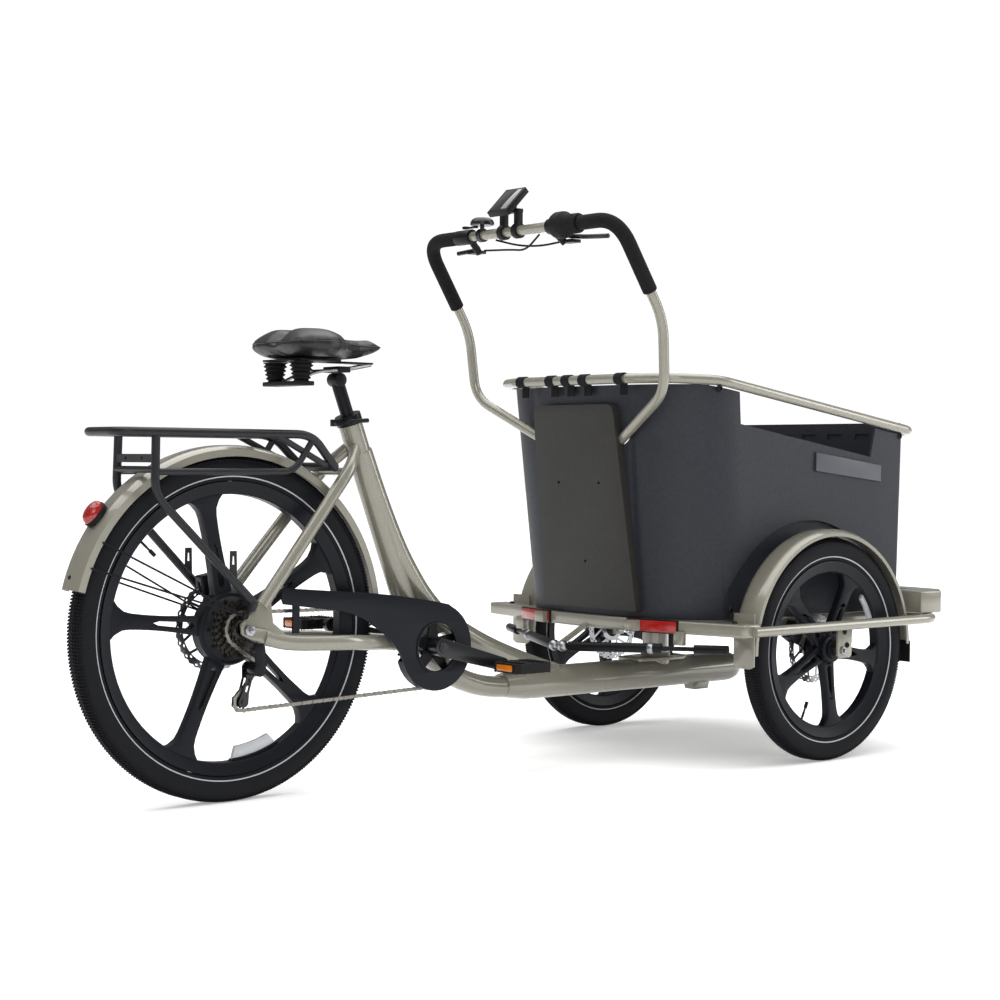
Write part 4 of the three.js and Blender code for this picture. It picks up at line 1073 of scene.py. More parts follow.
plate(bm, gusset, -15, 15)
make("main_tubes", bm, greige_paint, "rear_frame", ["main_frame"], 50)

bm = bmesh.new()
for s in (-1, 1):
    seat_stay = [(300, 12 * s, 694), (284, 26 * s, 676), (258, 45 * s, 648)]
    seat_stay += [(210, 53 * s, 592), (120, 63 * s, 486), (34, 70 * s, 384)]
    sweep(bm, through(seat_stay), oval(10.5, 13.5, 28))
    chain_stay = [(40, 70 * s, 322), (100, 70.5 * s, 309), (180, 69 * s, 304), (250, 65 * s, 301)]
    chain_stay += [(300, 53 * s, 297), (345, 41 * s, 294), (390, 31 * s, 290), (458, 29 * s, 284)]
    sweep(bm, through(chain_stay), oval(11, 15.5, 28))
    dropout = [(-12, 330), (14, 316), (60, 306), (90, 306), (84, 330)]
    dropout += [(58, 350), (52, 398), (30, 396), (0, 362), (-14, 350)]
    tip = bmesh.new()
    plate(tip, dropout, *sorted((66 * s, 76 * s)), [circle(8, *rear_centre, 20)])
    soften(tip, 2.4, 40, 2)
    pour(bm, tip)
rod(bm, (248, -50, 643), (248, 50, 643), 8)
rod(bm, (BRACKET[0], -36, BRACKET[1]), (BRACKET[0], 36, BRACKET[1]), 25, sides=48)
make("stays_and_bracket_shell", bm, greige_paint, "rear_frame", (), 50)

bm = bmesh.new()
rod(bm, (POST_X, 0, 190), (POST_X, 0, 224), 34, sides=40)
rod(bm, (POST_X, 0, 200), (POST_X, 0, 318), 14, sides=32)
pivot_plate = [(1085, -34), (1130, -46), (1215, -46), (1248, -30)]
pivot_plate += [(x, -y) for x, y in reversed(pivot_plate)]
plate(bm, pivot_plate, 209, 217, upright=False)
plate(bm, [(1280, 150), (1340, 150), (1334, 130), (1288, 130)], -16, 16)
soften(bm, 1.5, 40)
make("steering_post", bm, greige_paint, "rear_frame", ())
refined("steering_bearing", ground_steel, 1.0)

# ---- Rear mudguard and lamp ---------------------------------------------------------------
# A rolled steel mudguard with sloping shoulders, painted with the frame, on two pairs of wire
# stays, and a red lamp bolted to its back.


def guard_section(half, lip, wall=2.2):
    outer = [(-half, -lip), (-half, -8), (-half + 4, -5), (-half + 13, -0.8), (-half + 18, 0)]
    outer += [(-p[0], p[1]) for p in reversed(outer)]
    inner = [(p[0] * (half - wall) / half, p[1] - wall if p[1] > -lip else p[1]) for p in reversed(outer)]
    return outer + inner


bm = bmesh.new()
sweep(bm, arc(rear_centre, 0, 356, 4, 166), guard_section(32, 22))
make("rear_mudguard", bm, greige_paint, "rear_frame", ["rear_fender"], 24)
bm = bmesh.new()
for s in (-1, 1):
    for angle in (149, 158):
        a = math.radians(angle)
        x, z = polar(337, a, (0, AXLE_Z))
        tube(bm, [(x, 33 * s, z), (-10, 80 * s, 366)], 2.0, sides=12)
    rod(bm, (-10, 77 * s, 366), (-10, 84 * s, 366), 6, sides=20)
GROMMET_AT = 2.83
(x, z), (end_x, end_z) = (polar(r, GROMMET_AT, (0, AXLE_Z)) for r in (357, 352))
rod(bm, (x, 0, z), (end_x, 0, end_z), 4, sides=16)
make("mudguard_stays", bm, black_alloy, "rear_frame")

LAMP_AT = math.radians(142)
outward = Vector((math.cos(LAMP_AT), 0, math.sin(LAMP_AT)))
seat = Vector((rear_centre[0], 0, AXLE_Z)) + outward * 356.5
tangent = Vector((-outward.z, 0, outward.x))


def domed(bm, start, direction, up, steps):
    """A body of oval slices: each is a distance out, a half width along Y and a half height."""
    rings = []
    for out, wide, tall in steps:
        rings.append([start + direction * out + Vector((0, a, 0)) + up * b for a, b in oval(wide, tall, 36)])
    skin(bm, rings)


bm = bmesh.new()
domed(bm, seat, outward, tangent, [(0, 15, 22), (1, 18, 26), (10, 18.5, 27), (11, 17, 25)])
make("lamp_housing", bm, cap_plastic, "rear_frame", ())
lens_red = coated("red_lamp_acrylic", "#C00F0A", "#8E0705", 0.16, 3.2, 0.35, 0.03, 14, 0.0, PRISM)
bm = bmesh.new()
lens = [(8, 16.6, 25), (14, 16.6, 25), (19, 15.4, 23.5), (23, 13, 20), (26, 9, 14)]
domed(bm, seat, outward, tangent, [*lens, (27.5, 4, 6), (27.7, 1, 1.5)])
make("lamp_lens", bm, lens_red, "rear_frame", ["tail_light"], 60)

# ---- Rear rack ----------------------------------------------------------------------------
# Welded steel tube, powder coated satin black: a flat hoop on two pairs of legs, with a low side
# rail, braces at its front end, a plate for a reflector and two keyhole tabs.

rack_coat = coated(
    "satin_powder_coat_on_steel", "#17181C", "#1D1E22", 0.38, 1.6, 0.05, patch=90, shader=SATIN
)
bm = bmesh.new()
hoop = [(214, 58, 652), (196, 62, 668), (150, 70, 716), (-275, 70, 716)]
hoop += [(x, -y, z) for x, y, z in reversed(hoop)]
tube(bm, hoop, 8.6, 36)
for s in (-1, 1):
    tube(bm, [(-200, 70 * s, 714), (-203, 72 * s, 600), (8, 82 * s, 392)], 8.2, 30)
    tube(bm, [(-203, 71 * s, 642), (108, 70 * s, 643), (156, 70 * s, 712)], 6.4, 26)
    rod(bm, (66, 70 * s, 714), (188, 62 * s, 656), 6.4)
    rod(bm, (8, 82 * s, 392), (2, 82 * s, 376), 10, 8)
    keyhole = [(-46, 440), (-30, 440), (-31, 492), (-45, 492)]
    plate(bm, keyhole, *sorted((80 * s, 83 * s)), [[(-41, 466), (-35, 466), (-36, 482), (-40, 482)]])
rod(bm, (-204, -70, 646), (-204, 70, 646), 6.4)
rod(bm, (60, -70, 714), (60, 70, 714), 6.4)
rod(bm, (214, -58, 652), (214, 58, 652), 9)
plate(bm, [(218, -13), (240, -13), (240, 13), (218, 13)], 648, 656, upright=False)
light_plate = bmesh.new()
screw_holes = [circle(3.4, x, 667, 16) for x in (-30, 30)]
plate(light_plate, [(-70, 659), (70, 659), (70, 675), (-70, 675)], 201, 207, screw_holes)
light_plate.transform(Matrix.Rotation(math.pi / 2, 4, "Z"))
pour(bm, light_plate)
make("rack_tubes", bm, rack_coat, "rear_frame", ["rear_rack"], 40)

# ---- Saddle and its post ------------------------------------------------------------------
# An anodised post clamped by a quick-release collar, and a wide comfort saddle: a moulded base on
# two rubber bellows and steel rails, under a foam cushion in sewn black vinyl.


def facing_tree():
    """Copies of a unit on points, its Z axis turned along each point's facing."""
    tree, given = tree_of("copies_on_points", Geometry="Geometry", Unit="Object", Material="Material")
    unit = add(tree, "GeometryNodeObjectInfo", {"Object": given["Unit"]})
    facing = add(tree, "GeometryNodeInputNamedAttribute", {"Name": "facing"}, data_type="FLOAT_VECTOR")
    turn = add(tree, "FunctionNodeAlignRotationToVector", {"Vector": facing.outputs[0]}, axis="Z")
    copies = add(
        tree,
        "GeometryNodeInstanceOnPoints",
        {"Points": given["Geometry"], "Instance": unit.outputs["Geometry"], "Rotation": turn.outputs[0]},
    )
    close_tree(tree, copies.outputs[0], given["Material"])
    return tree


FACING = facing_tree()


def set_out(name, unit, spots, surface, body):
    """Sets a unit out on spots, each a point and the way its Z axis faces."""
    start = bpy.data.meshes.new("spots")
    start.from_pydata([tuple(p) for p, _ in spots], [], [])
    facing = start.attributes.new("facing", "FLOAT_VECTOR", "POINT")
    facing.data.foreach_set("vector", [c for _, way in spots for c in way])
    mesh = grown(FACING, start, unit, {"Material": surface})
    return finished(name, mesh, surface, body, (), 30)


def cap_screw(head, height):
    """A button-head screw with a hexagon socket, its axis along Z."""
    bm = bmesh.new()
    profile = [(0.01, height * 0.45), (0.01, -1), (head, -1), (head, 0), (head, height * 0.35)]
    profile += [(head * 0.8, height * 0.8), (head * 0.5, height), (head * 0.5, height * 0.45)]
    turned(bm, profile, (0, 0), 12)
    bm.transform(Matrix.Rotation(math.pi / 2, 4, "X"))
    return bm


bm = bmesh.new()
POST_TOP = on_seat_axis(95)
rod(bm, on_seat_axis(-230), POST_TOP, 13.6, sides=48)
rod(bm, POST_TOP + Vector((0, -16, 0)), POST_TOP + Vector((0, 16, 0)), 14, sides=40)
soften(bm, 1.0, 50)
make("seat_post_tube", bm, black_alloy, "seat", ["seat_post"])
refined("seat_clamp", black_alloy, 1.4)
refined("seat_clamp_lever", black_alloy, 1.2)

bm = bmesh.new()
CLAMP_Z = POST_TOP.z + 20.5
for size, x, z in (
    ((30, 56, 12), POST_TOP.x, CLAMP_Z),
    ((96, 140, 4), 172, 864),
    ((120, 30, 4), 280, 864),
    ((36, 132, 9), 140, 817),
):
    box_at(bm, size, x, 0, z)
soften(bm, 2.4, 40, 3)
make("saddle_frame", bm, cap_plastic, "seat", ["saddle_base"])
# Soft moulded rubber of the bellows: matt and slightly grey.
bellows_rubber = coated("soft_moulded_rubber", "#111112", "#18181A", 0.6, 1.4, 0.08, patch=30, shader=DULL)
bm = bmesh.new()
for s in (-1, 1):
    rings = []
    for k in range(33):
        height = 820 + 40 * k / 32
        radius = 15.5 + 7.5 * k / 32 + 2.3 * math.cos(math.tau * k / 6.4)
        rings.append([Vector((140 + a, 46 * s + b, height)) for a, b in oval(radius, sides=40)])
    skin(bm, rings)
make("saddle_bellows", bm, bellows_rubber, "seat", (), 60)
bm = bmesh.new()
for s in (-1, 1):
    rail = [(140, 24 * s, 819), (190, 22 * s, CLAMP_Z - 6), (270, 22 * s, CLAMP_Z), (335, 10 * s, 861)]
    tube(bm, rail, 3.6, 24, 16)
make("saddle_rails", bm, ground_steel, "seat", ())

# Grained vinyl: black, half matt, with a fine pebble that catches small highlights.
grained_vinyl = coated(
    "pebble_grained_vinyl", "#121315", "#18191B", 0.36, 1.1, 0.14, 0.06, 45, 0.0, {"Specular IOR Level": 0.4}
)
HALF_WIDTHS = [
    (98, 44), (101, 74), (110, 98), (130, 117), (160, 124), (190, 118), (220, 98), (245, 72), (270, 50),
    (300, 36), (330, 30), (352, 26), (364, 19), (370, 9),
]


def cushion_half_width(x):
    return float(np.interp(x, *zip(*HALF_WIDTHS)))


def top_of_cushion(x, y):
    """Height of the cushion: two round lobes at the back with a channel between, and a nose."""
    along = (98, 112, 135, 175, 220, 255, 300, 345, 370)
    crown = float(np.interp(x, along, (904, 917, 925, 926, 918, 909, 911, 912, 903)))
    deep = float(np.interp(x, (98, 200, 290, 340), (13, 9, 5, 0)))
    return crown - deep * math.exp(-((y / 17) ** 2))


def under_of_cushion(x):
    return float(np.interp(x, (98, 112, 150, 240, 300, 345, 370), (886, 875, 870, 870, 876, 887, 893)))


bm = bmesh.new()
rings = []
for x in flowing([(w[0], 0, 0) for w in HALF_WIDTHS], 3):
    half = cushion_half_width(x.x) - 4
    low = under_of_cushion(x.x) + 3
    ring = []
    for k in range(48):
        a = math.tau * k / 48
        y = half * math.copysign(abs(math.cos(a)) ** 0.75, math.cos(a))
        middle = low + 0.4 * (top_of_cushion(x.x, half) - low)
        if math.sin(a) >= 0:
            z = middle + (top_of_cushion(x.x, y) - 4 - middle) * math.sin(a) ** 0.72
        else:
            z = middle - (middle - low) * abs(math.sin(a)) ** 0.6
        ring.append(Vector((x.x, y, z)))
    rings.append(ring)
skin(bm, rings)
cushion = make("saddle_pad", bm, grained_vinyl, "seat", ["saddle_cushion"], 180)


def swell(obj, voxel, pressure, cap, floor_z):
    """Lets the cover swell over its foam for a moment, holds the movement to the cap, and keeps the
    underside flat. Lengths are in metres."""
    remesh = obj.modifiers.new("remesh", "REMESH")
    remesh.mode = "VOXEL"
    remesh.voxel_size = voxel
    mesh = worked_out(obj)
    obj.modifiers.clear()
    pad = placed("swelling", mesh)
    start = np.empty(len(mesh.vertices) * 3)
    mesh.vertices.foreach_get("co", start)
    start = start.reshape(-1, 3)
    cloth = pad.modifiers.new("cover", "CLOTH")
    cloth.settings.use_pressure = True
    cloth.settings.uniform_pressure_force = pressure
    cloth.settings.effector_weights.gravity = 0
    cloth.point_cache.frame_start, cloth.point_cache.frame_end = 1, 20
    for moment in range(1, 21):
        bpy.context.scene.frame_set(moment)
    shown = bpy.context.evaluated_depsgraph_get()
    swollen = pad.evaluated_get(shown).to_mesh()
    end = np.empty(len(swollen.vertices) * 3)
    swollen.vertices.foreach_get("co", end)
    move = end.reshape(-1, 3) - start
    pad.evaluated_get(shown).to_mesh_clear()
    length = np.maximum(np.linalg.norm(move, axis=1, keepdims=True), 1e-9)
    place = start + move * np.minimum(1.0, cap / length)
    place[:, 2] = np.maximum(place[:, 2], floor_z)
    pad.modifiers.clear()
    bpy.context.scene.frame_set(1)
    mesh.vertices.foreach_set("co", place.ravel())
    mesh.update()
    bpy.data.objects.remove(pad)
    obj.data = mesh
    mesh.materials.clear()
    mesh.materials.append(grained_vinyl)
    mesh.shade_smooth()
    smooth = obj.modifiers.new("smooth", "SUBSURF")
    smooth.levels = smooth.render_levels = 1


swell(cushion, 0.005, 4.0, 0.006, 0.8685)

# A welt runs round the cushion where its top meets its side, and a line of stitches runs inside it.
pad_skin = BVHTree.FromObject(cushion, bpy.context.evaluated_depsgraph_get())
WELT_STEPS = 160
heart = Vector((190, 0, 898))
welt = []
for k in range(WELT_STEPS):
    a = math.tau * k / WELT_STEPS
    hit = pad_skin.ray_cast(TO_ROW @ heart, Vector((math.cos(a), math.sin(a), 0)))[0]
    welt.append(TO_MM @ hit)
bm = bmesh.new()
ways = [(b - a) for a, b in zip(welt[-1:] + welt[:-1], welt[1:] + welt[:1])]
sweep(bm, list(zip(welt, ways)), oval(1.5, sides=10), loop=True)
seam = make("saddle_welt", bm, grained_vinyl, "seat", (), 180)
sewing_thread = coated("waxed_polyester_thread", "#2B2D2F", "#35373A", 0.6, 0.6, 0.05, patch=20)
stitch = bmesh.new()
rod(stitch, (0, 0, -1.4), (0, 0, 1.4), 0.45, sides=6)
spots = []
for k in range(2 * WELT_STEPS):
    a, b = welt[k // 2], welt[(k // 2 + 1) % WELT_STEPS]
    point = a.lerp(b, k / 2 % 1)
    inward = (Vector((heart.x, 0, point.z)) - point).normalized() * 4.2
    hit = pad_skin.ray_cast(TO_ROW @ (point + inward + Vector((0, 0, 40))), Vector((0, 0, -1)))[0]
    if hit:
        spots.append((TO_MM @ hit, (b - a).normalized()))
set_out("saddle_stitches", stitch, spots, sewing_thread, "seat")

# ---- Wheel reflectors ---------------------------------------------------------------------
# Clear prism reflectors clipped between two spokes of each wheel by a black hook.

clear_prism = coated("clear_prism_acrylic", "#D3D6DA", "#BFC3C8", 0.2, 2.2, 0.5, 0.05, 12, 0.0, PRISM)


def arc_band(inner, outer, middle, half):
    """The outline of a band along an arc, from one radius to another."""
    turns = [math.radians(middle) + (k / 12 - 0.5) * 2 * half / outer for k in range(13)]
    return [polar(outer, a) for a in turns] + [polar(inner, a) for a in reversed(turns[1:-1])]


for node, angle, reach in (
    ("rear_tyre", -76, 245),
    ("front_tyre_right", 28, 174),
    ("front_tyre_left", 28, 174),
):
    radius, centre, middle_y = wheel_of(node)
    for name, surface, band, thick in (
        ("_reflector", clear_prism, arc_band(reach - 12, reach + 12, angle, 52), 4),
        ("_reflector_clip", cap_plastic, arc_band(reach + 10.5, reach + 18, angle, 62), 6),
    ):
        bm = bmesh.new()
        plate(bm, moved(band, centre), middle_y - thick, middle_y + thick)
        soften(bm, 1.6, 40)
        make(node + name, bm, surface, BODY_OF[node])

# ---- Front platform -----------------------------------------------------------------------
# Welded steel members and plates with a curved rear member, painted with the frame, with a round
# rail along each side that takes the outer end of each wheel's axle.


DECK = 322
FRONT_X, FRONT_Z = 1345, 250.5
bm = bmesh.new()
for size, x, y in (
    ((40, 560, 24), POST_X, 0),
    ((50, 620, 24), FRONT_X, 0),
    ((30, 600, 20), 1640, 0),
    ((740, 30, 24), 1310, 150),
    ((740, 30, 24), 1310, -150),
):
    box_at(bm, size, x, y, DECK - 2 - size[2] / 2)
for s in (-1, 1):
    box_at(bm, (640, 14, 20), 1330, 290 * s, DECK - 12)
soften(bm, 2.2, 40, 2)
make("deck_members", bm, greige_paint, "front", ["platform"])

member = [(1020, -421), (1007, -348), (985, -254), (959, -131), (948, 0)]
back = [(1072, 421), (1072, 360), (1048, 300), (1022, 200), (1010, 100), (1006, 0)]


def both_halves(half):
    """A smooth line through the points of one half, and through their mirror images."""
    line = flowing([(x, y, 0) for x, y in half + [(x, -y) for x, y in half[-2::-1]]], 6)
    return [(p.x, p.y) for p in line]


bm = bmesh.new()
plate(bm, both_halves(member) + both_halves(back), DECK - 28, DECK, upright=False)
soften(bm, 4.5, 50, 3)
for s in (-1, 1):
    rail_end = [(1045, 425 * s, 306), (1684, 425 * s, 309), (1684, 0, 309)]
    tube(bm, rail_end, 11, 60, 28, 12)
    corner = bmesh.new()
    box_at(corner, (46, 40, 20), 1046, 400 * s, 306)
    plate(corner, [(1320, 312), (1370, 312), (1362, 236), (1328, 236)], *sorted((303 * s, 309 * s)))
    outer_plate = [(1330, 308), (1380, 308), (1377, 240), (1372, 234), (1334, 234), (1329, 240)]
    plate(corner, outer_plate, *sorted((410 * s, 416 * s)))
    box_at(corner, (14, 26, 30), 986, 262 * s, 285)
    soften(corner, 1.6, 40, 2)
    pour(bm, corner)
rod(bm, (POST_X, 0, 230.4), (POST_X, 0, DECK - 3), 30, sides=48)
rod(bm, (956, 0, DECK - 20), (866, 0, 256), 6.5)
make("deck_edge_and_rails", bm, greige_paint, "front", ())

bm = bmesh.new()
for s in (-1, 1):
    rod(bm, (FRONT_X, 305 * s, FRONT_Z), (FRONT_X, 409 * s, FRONT_Z), 8)
    rod(bm, (FRONT_X, 409 * s, FRONT_Z), (FRONT_X, 420 * s, FRONT_Z), 5, sides=20)
make("front_axle_pins", bm, ground_steel, "front", ())
nut = bmesh.new()
rod(nut, (0, 0, 0), (0, 0, 6), 9.5, sides=6)
rod(nut, (0, 0, 6), (0, 0, 11), 4.8, 4.2, 12)
soften(nut, 0.7, 40, 1)
spots = [((FRONT_X, 416 * s, FRONT_Z), (0, s, 0)) for s in (-1, 1)]
spots += [((FRONT_X, 303 * s, FRONT_Z), (0, -s, 0)) for s in (-1, 1)]
set_out("axle_nuts", nut, spots, ground_steel, "front")

refined("front_block", greige_paint, 3.4, 3)
screws = []
for s in (-1, 1):
    screws += [((1352, 416 * s, 292), (0, s, 0)), ((1360, 416 * s, 262), (0, s, 0))]
    screws += [((1046, 368 * s, 322.2), (0, 0, 1)), ((1665, 150 * s, 322.2), (0, 0, 1))]
screws += [((1749.6, y, 346), (1, 0, 0)) for y in (-250, -90, 90, 250)]
set_out("deck_screws", cap_screw(6.5, 4), screws, black_alloy, "front")

for side, s in SIDES:
    _, front_centre, middle_y = wheel_of(f"front_tyre_{side}")
    bm = bmesh.new()
    sweep(bm, arc(front_centre, middle_y, 270, 0, 180), guard_section(32, 16))
    make(f"front_mudguard_{side}", bm, greige_paint, "front", [f"fender_{side}"], 24)
    bm = bmesh.new()
    box_at(bm, (3, 62, 50), FRONT_X + 267, middle_y, 232)
    soften(bm, 0.8, 40)
    make(f"mudguard_flap_{side}", bm, cap_plastic, "front", ())
    bm = bmesh.new()
    tail = [(-30, 228), (-18, 222), (18, 222), (30, 228), (30, 342), (-30, 342)]
    plate(bm, [(a + middle_y + 4 * s, z) for a, z in tail], -1078.5, -1075)
    bm.transform(Matrix.Rotation(math.pi / 2, 4, "Z"))
    soften(bm, 0.8, 40)
    make(f"mudguard_tail_{side}", bm, greige_paint, "front", ())
    refined(f"caliper_{side}", black_alloy, 3.0)
    refined(f"platform_strut_{side}", black_alloy, 0.8)
    bm = bmesh.new()
    start = Vector((866, 9 * s, 256))
    along = (Vector((986, 262 * s, 262)) - start).normalized()
    for out in (6, 214):
        place = Matrix.Translation(start + along * out)
        bmesh.ops.create_uvsphere(bm, u_segments=24, v_segments=16, radius=12.5, matrix=place)
    rod(bm, start + along * 150, start + along * 208, 6.6)
    make(f"strut_joints_{side}", bm, ground_steel, "front", ())

# Red prism reflectors on the curved rear member, each in a black tray.
bm, trays = bmesh.new(), bmesh.new()
for s in (-1, 1):
    front_point, back_point = Vector((985, 254 * s, 308)), Vector((959, 131 * s, 308))
    middle = (front_point + back_point) / 2
    way = (back_point - front_point).normalized()
    turn = Matrix.Rotation(math.atan2(way.y, way.x), 4, "Z")
    out = Vector((-abs(way.y), way.x * math.copysign(1, way.y), 0)).normalized()
    for target, size, away in ((bm, (128, 6, 25), 3.4), (trays, (134, 6, 30), 1.0)):
        box_at(target, size, *(middle + out * away), turn)
soften(bm, 1.2, 40)
soften(trays, 1.2, 40)
make("rear_reflectors", bm, lens_red, "front", ())
make("reflector_trays", trays, cap_plastic, "front", ())

# ---- Cargo box ----------------------------------------------------------------------------
# A tub of rotationally moulded polyethylene with slanting walls, a recess over each front wheel and
# an open window high in each side, with a screwed-on back panel and a painted tube along its rim.

# Rotomoulded polyethylene: charcoal with a slight blue cast, matt, with a leathery grain.
moulded_box = coated(
    "rotomoulded_polyethylene", "#1E2026", "#2A2D34", 0.5, 2.4, 0.5, 0.12, 9, 0.0, SATIN
)
BOX_LOW, BOX_HIGH = 322.4, 836


def tub_ring(z, inset):
    """The tub's outline at a height, from the middle of its back and round."""
    level = (z - BOX_LOW) / (BOX_HIGH - BOX_LOW)
    back_x = 967 + (912 - 967) * level + inset
    half = 308 + (322 - 308) * level - inset
    front_x = 1690 - inset
    corner = 165 - inset
    points = []
    shoulder = (back_x + 14, corner - half)
    for k in range(12):
        t = k / 12
        y = pulled(0, corner - half + 30, shoulder[1], t)
        points.append((pulled(back_x, back_x + 1, shoulder[0], t), y))
    for k in range(25):
        a = math.pi + math.pi / 2 * k / 24
        points.append(polar(corner, a, (shoulder[0] + corner, shoulder[1])))
    for k in range(9):
        t = k / 8
        points.append((front_x - 30 + 30 * t, -half + 30 * t * t))
    mirror = [(x, -y) for x, y in reversed(points)]
    return points + mirror[:-1]


def tub_shape(low, high, inset):
    bm = bmesh.new()
    rings = [[Vector((x, y, z)) for x, y in tub_ring(z, inset)] for z in (low, high)]
    skin(bm, rings)
    bmesh.ops.recalc_face_normals(bm, faces=bm.faces)
    return bm


def cut_from(bm, *cutters):
    """Cuts closed shapes out of a closed shape."""
    pieces = []
    for shape in (bm, *cutters):
        bmesh.ops.recalc_face_normals(shape, faces=shape.faces)
        mesh = bpy.data.meshes.new("cut")
        shape.to_mesh(mesh)
        shape.free()
        pieces.append(placed("cut", mesh))
    for cutter in pieces[1:]:
        modifier = pieces[0].modifiers.new("cut", "BOOLEAN")
        modifier.operation, modifier.solver, modifier.object = "DIFFERENCE", "EXACT", cutter
    mesh = worked_out(pieces[0])
    for piece in pieces:
        bpy.data.objects.remove(piece)
    result = bmesh.new()
    result.from_mesh(mesh)
    return result


def cylinder(centre, radius, low, high, sides=96):
    bm = bmesh.new()
    rod(bm, (centre[0], low, centre[1]), (centre[0], high, centre[1]), radius, sides=sides)
    return bm


def prism(outline, low, high):
    bm = bmesh.new()
    plate(bm, outline, low, high)
    return bm


def recess(y, z, wide, tall):
    """A bar along X that cuts a shallow recess in the inner face of the front wall."""
    bm = bmesh.new()
    box_at(bm, (34, wide, tall), 1670, y, z)
    return bm


RIM_X, RIM_Z = 896, 848


def rail_height(x):
    """The height of the rim tube, which slopes down along the box's sides."""
    return RIM_Z + (748 - RIM_Z) * (x - 1024) / (1684 - 1024)


BAR_ELBOW, BAR_END = Vector((882, 313, 815)), Vector((937, 117, 710))


def bar_hole(s, radius=13.2):
    bm = bmesh.new()
    ends = [BAR_ELBOW.lerp(BAR_END, share) for share in (0.55, 1.1)]
    rod(bm, *[Vector((p.x, p.y * s, p.z)) for p in ends], radius, sides=24)
    return bm


outer_skin = cut_from(
    tub_shape(BOX_LOW, BOX_HIGH, 0),
    cylinder(front_centre, 288, 300, 400),
    cylinder(front_centre, 288, -400, -300),
)
inner_skin = cut_from(
    tub_shape(BOX_LOW + 6, BOX_HIGH + 40, 6),
    cylinder(front_centre, 294, 294, 400),
    cylinder(front_centre, 294, -400, -294),
)
above = [(1024, 834), (1672, rail_height(1672) - 15), (1672, 765), (1800, 765), (1800, 1000), (1024, 1000)]
window = [(1111, 752), (1556, 683), (1572, 760), (1572, 900), (1098, 900)]
corner_cut = [(1650, 740), (1730, 740), (1730, 800), (1650, 800)]
front_corners = [prism(corner_cut, *sorted((304 * s, 364 * s))) for s in (-1, 1)]
tub = cut_from(
    outer_skin,
    inner_skin,
    prism(above, -400, 400),
    prism(window, -400, 400),
    *front_corners,
    *[recess(y, 732, 44, 14) for y in (-187, -100, -19, 62, 143)],
    bar_hole(-1),
    bar_hole(1),
)
bmesh.ops.remove_doubles(tub, verts=tub.verts, dist=0.05)
bmesh.ops.dissolve_limit(tub, angle_limit=math.radians(0.5), verts=tub.verts, edges=tub.edges)
soften(tub, 1.8, 35, 2)
make("cargo_tub", tub, moulded_box, "front", ["cargo_box"], 32)

# The back panel is formed in a browner black plastic, with round edges and three small holes.
panel_moulding = coated(
    "vacuum_formed_abs", "#242322", "#2D2C2A", 0.48, 2.0, 0.35, 0.1, 12, 0.0, SATIN
)
corners = [(-131, 794, 24), (-151, 337, 4), (151, 337, 4), (131, 794, 24)]
panel_outline = []
for k, (y, z, radius) in enumerate(corners):
    here = Vector((y, z))
    before = (Vector(corners[k - 1][:2]) - here).normalized() * radius
    after = (Vector(corners[(k + 1) % 4][:2]) - here).normalized() * radius
    for n in range(9):
        t = n / 8
        panel_outline.append(tuple(pulled(here + before, here, here + after, t)))
slab = bmesh.new()
plate(slab, panel_outline, -70, 0, [circle(3.4, y, z, 14) for y, z in ((-66, 620), (66, 620), (0, 443))])
slab.transform(Matrix.Rotation(math.pi / 2, 4, "Z"))
bmesh.ops.recalc_face_normals(slab, faces=slab.faces)
front_rim = [e for e in slab.edges if len(e.link_faces) == 2 and e.calc_face_angle() > 0.9]
front_rim = [e for e in front_rim if all(abs(v.co.x) < 1 for v in e.verts)]
front_rim = [e for e in front_rim if e.calc_length() > 1.9 or abs(e.verts[0].co.y) > 100]
bmesh.ops.bevel(slab, geom=front_rim, offset=8, segments=4, profile=0.5, affect="EDGES", clamp_overlap=True)
slab.transform(Matrix(((1, 0, -0.129, 902 + 794 * 0.129), (0, 1, 0, 0), (0, 0, 1, 0), (0, 0, 0, 1))))
panel = cut_from(slab, tub_shape(BOX_LOW - 10, BOX_HIGH + 10, -0.4), bar_hole(-1), bar_hole(1))
make("back_panel", panel, panel_moulding, "front", ["box_back_panel"], 30)

# A blank badge of brushed aluminium on each side wall.
brushed_plate = coated("brushed_aluminium", "#5E6066", "#505258", 0.5, 1.0, 0.03, patch=60, metallic=0.7)
bm = bmesh.new()
for s in (-1, 1):
    plate(bm, [(1360, 650), (1590, 626), (1590, 664), (1360, 692)], *sorted((318 * s, 322.5 * s)))
soften(bm, 1.0, 40)
make("blank_badges", bm, brushed_plate, "front", ())

bm = bmesh.new()
for s in (-1, 1):
    rim = [(RIM_X, 0, RIM_Z), (897, 176 * s, RIM_Z), (937, 272 * s, RIM_Z)]
    rim += [(1043, 321 * s, rail_height(1043))]
    rim += [(1704, 322 * s, rail_height(1704)), (1704, 0, rail_height(1704))]
    tube(bm, rim, 11, 34, 32, 12)
make("box_rim_tube", bm, greige_paint, "front", ["box_rail"])

# Dome-headed fixings through the tub's side walls.
spots = []
for s in (-1, 1):
    spots += [((1091, 313 * s, 344), (0, s, 0)), ((1607, 311 * s, 405), (0, s, 0))]
    spots += [((1040, 322 * s, 827), (0, s, 0)), ((1660, 318 * s, 733), (0, s, 0))]
set_out("tub_fixings", cap_screw(8.5, 4.5), spots, black_alloy, "front")

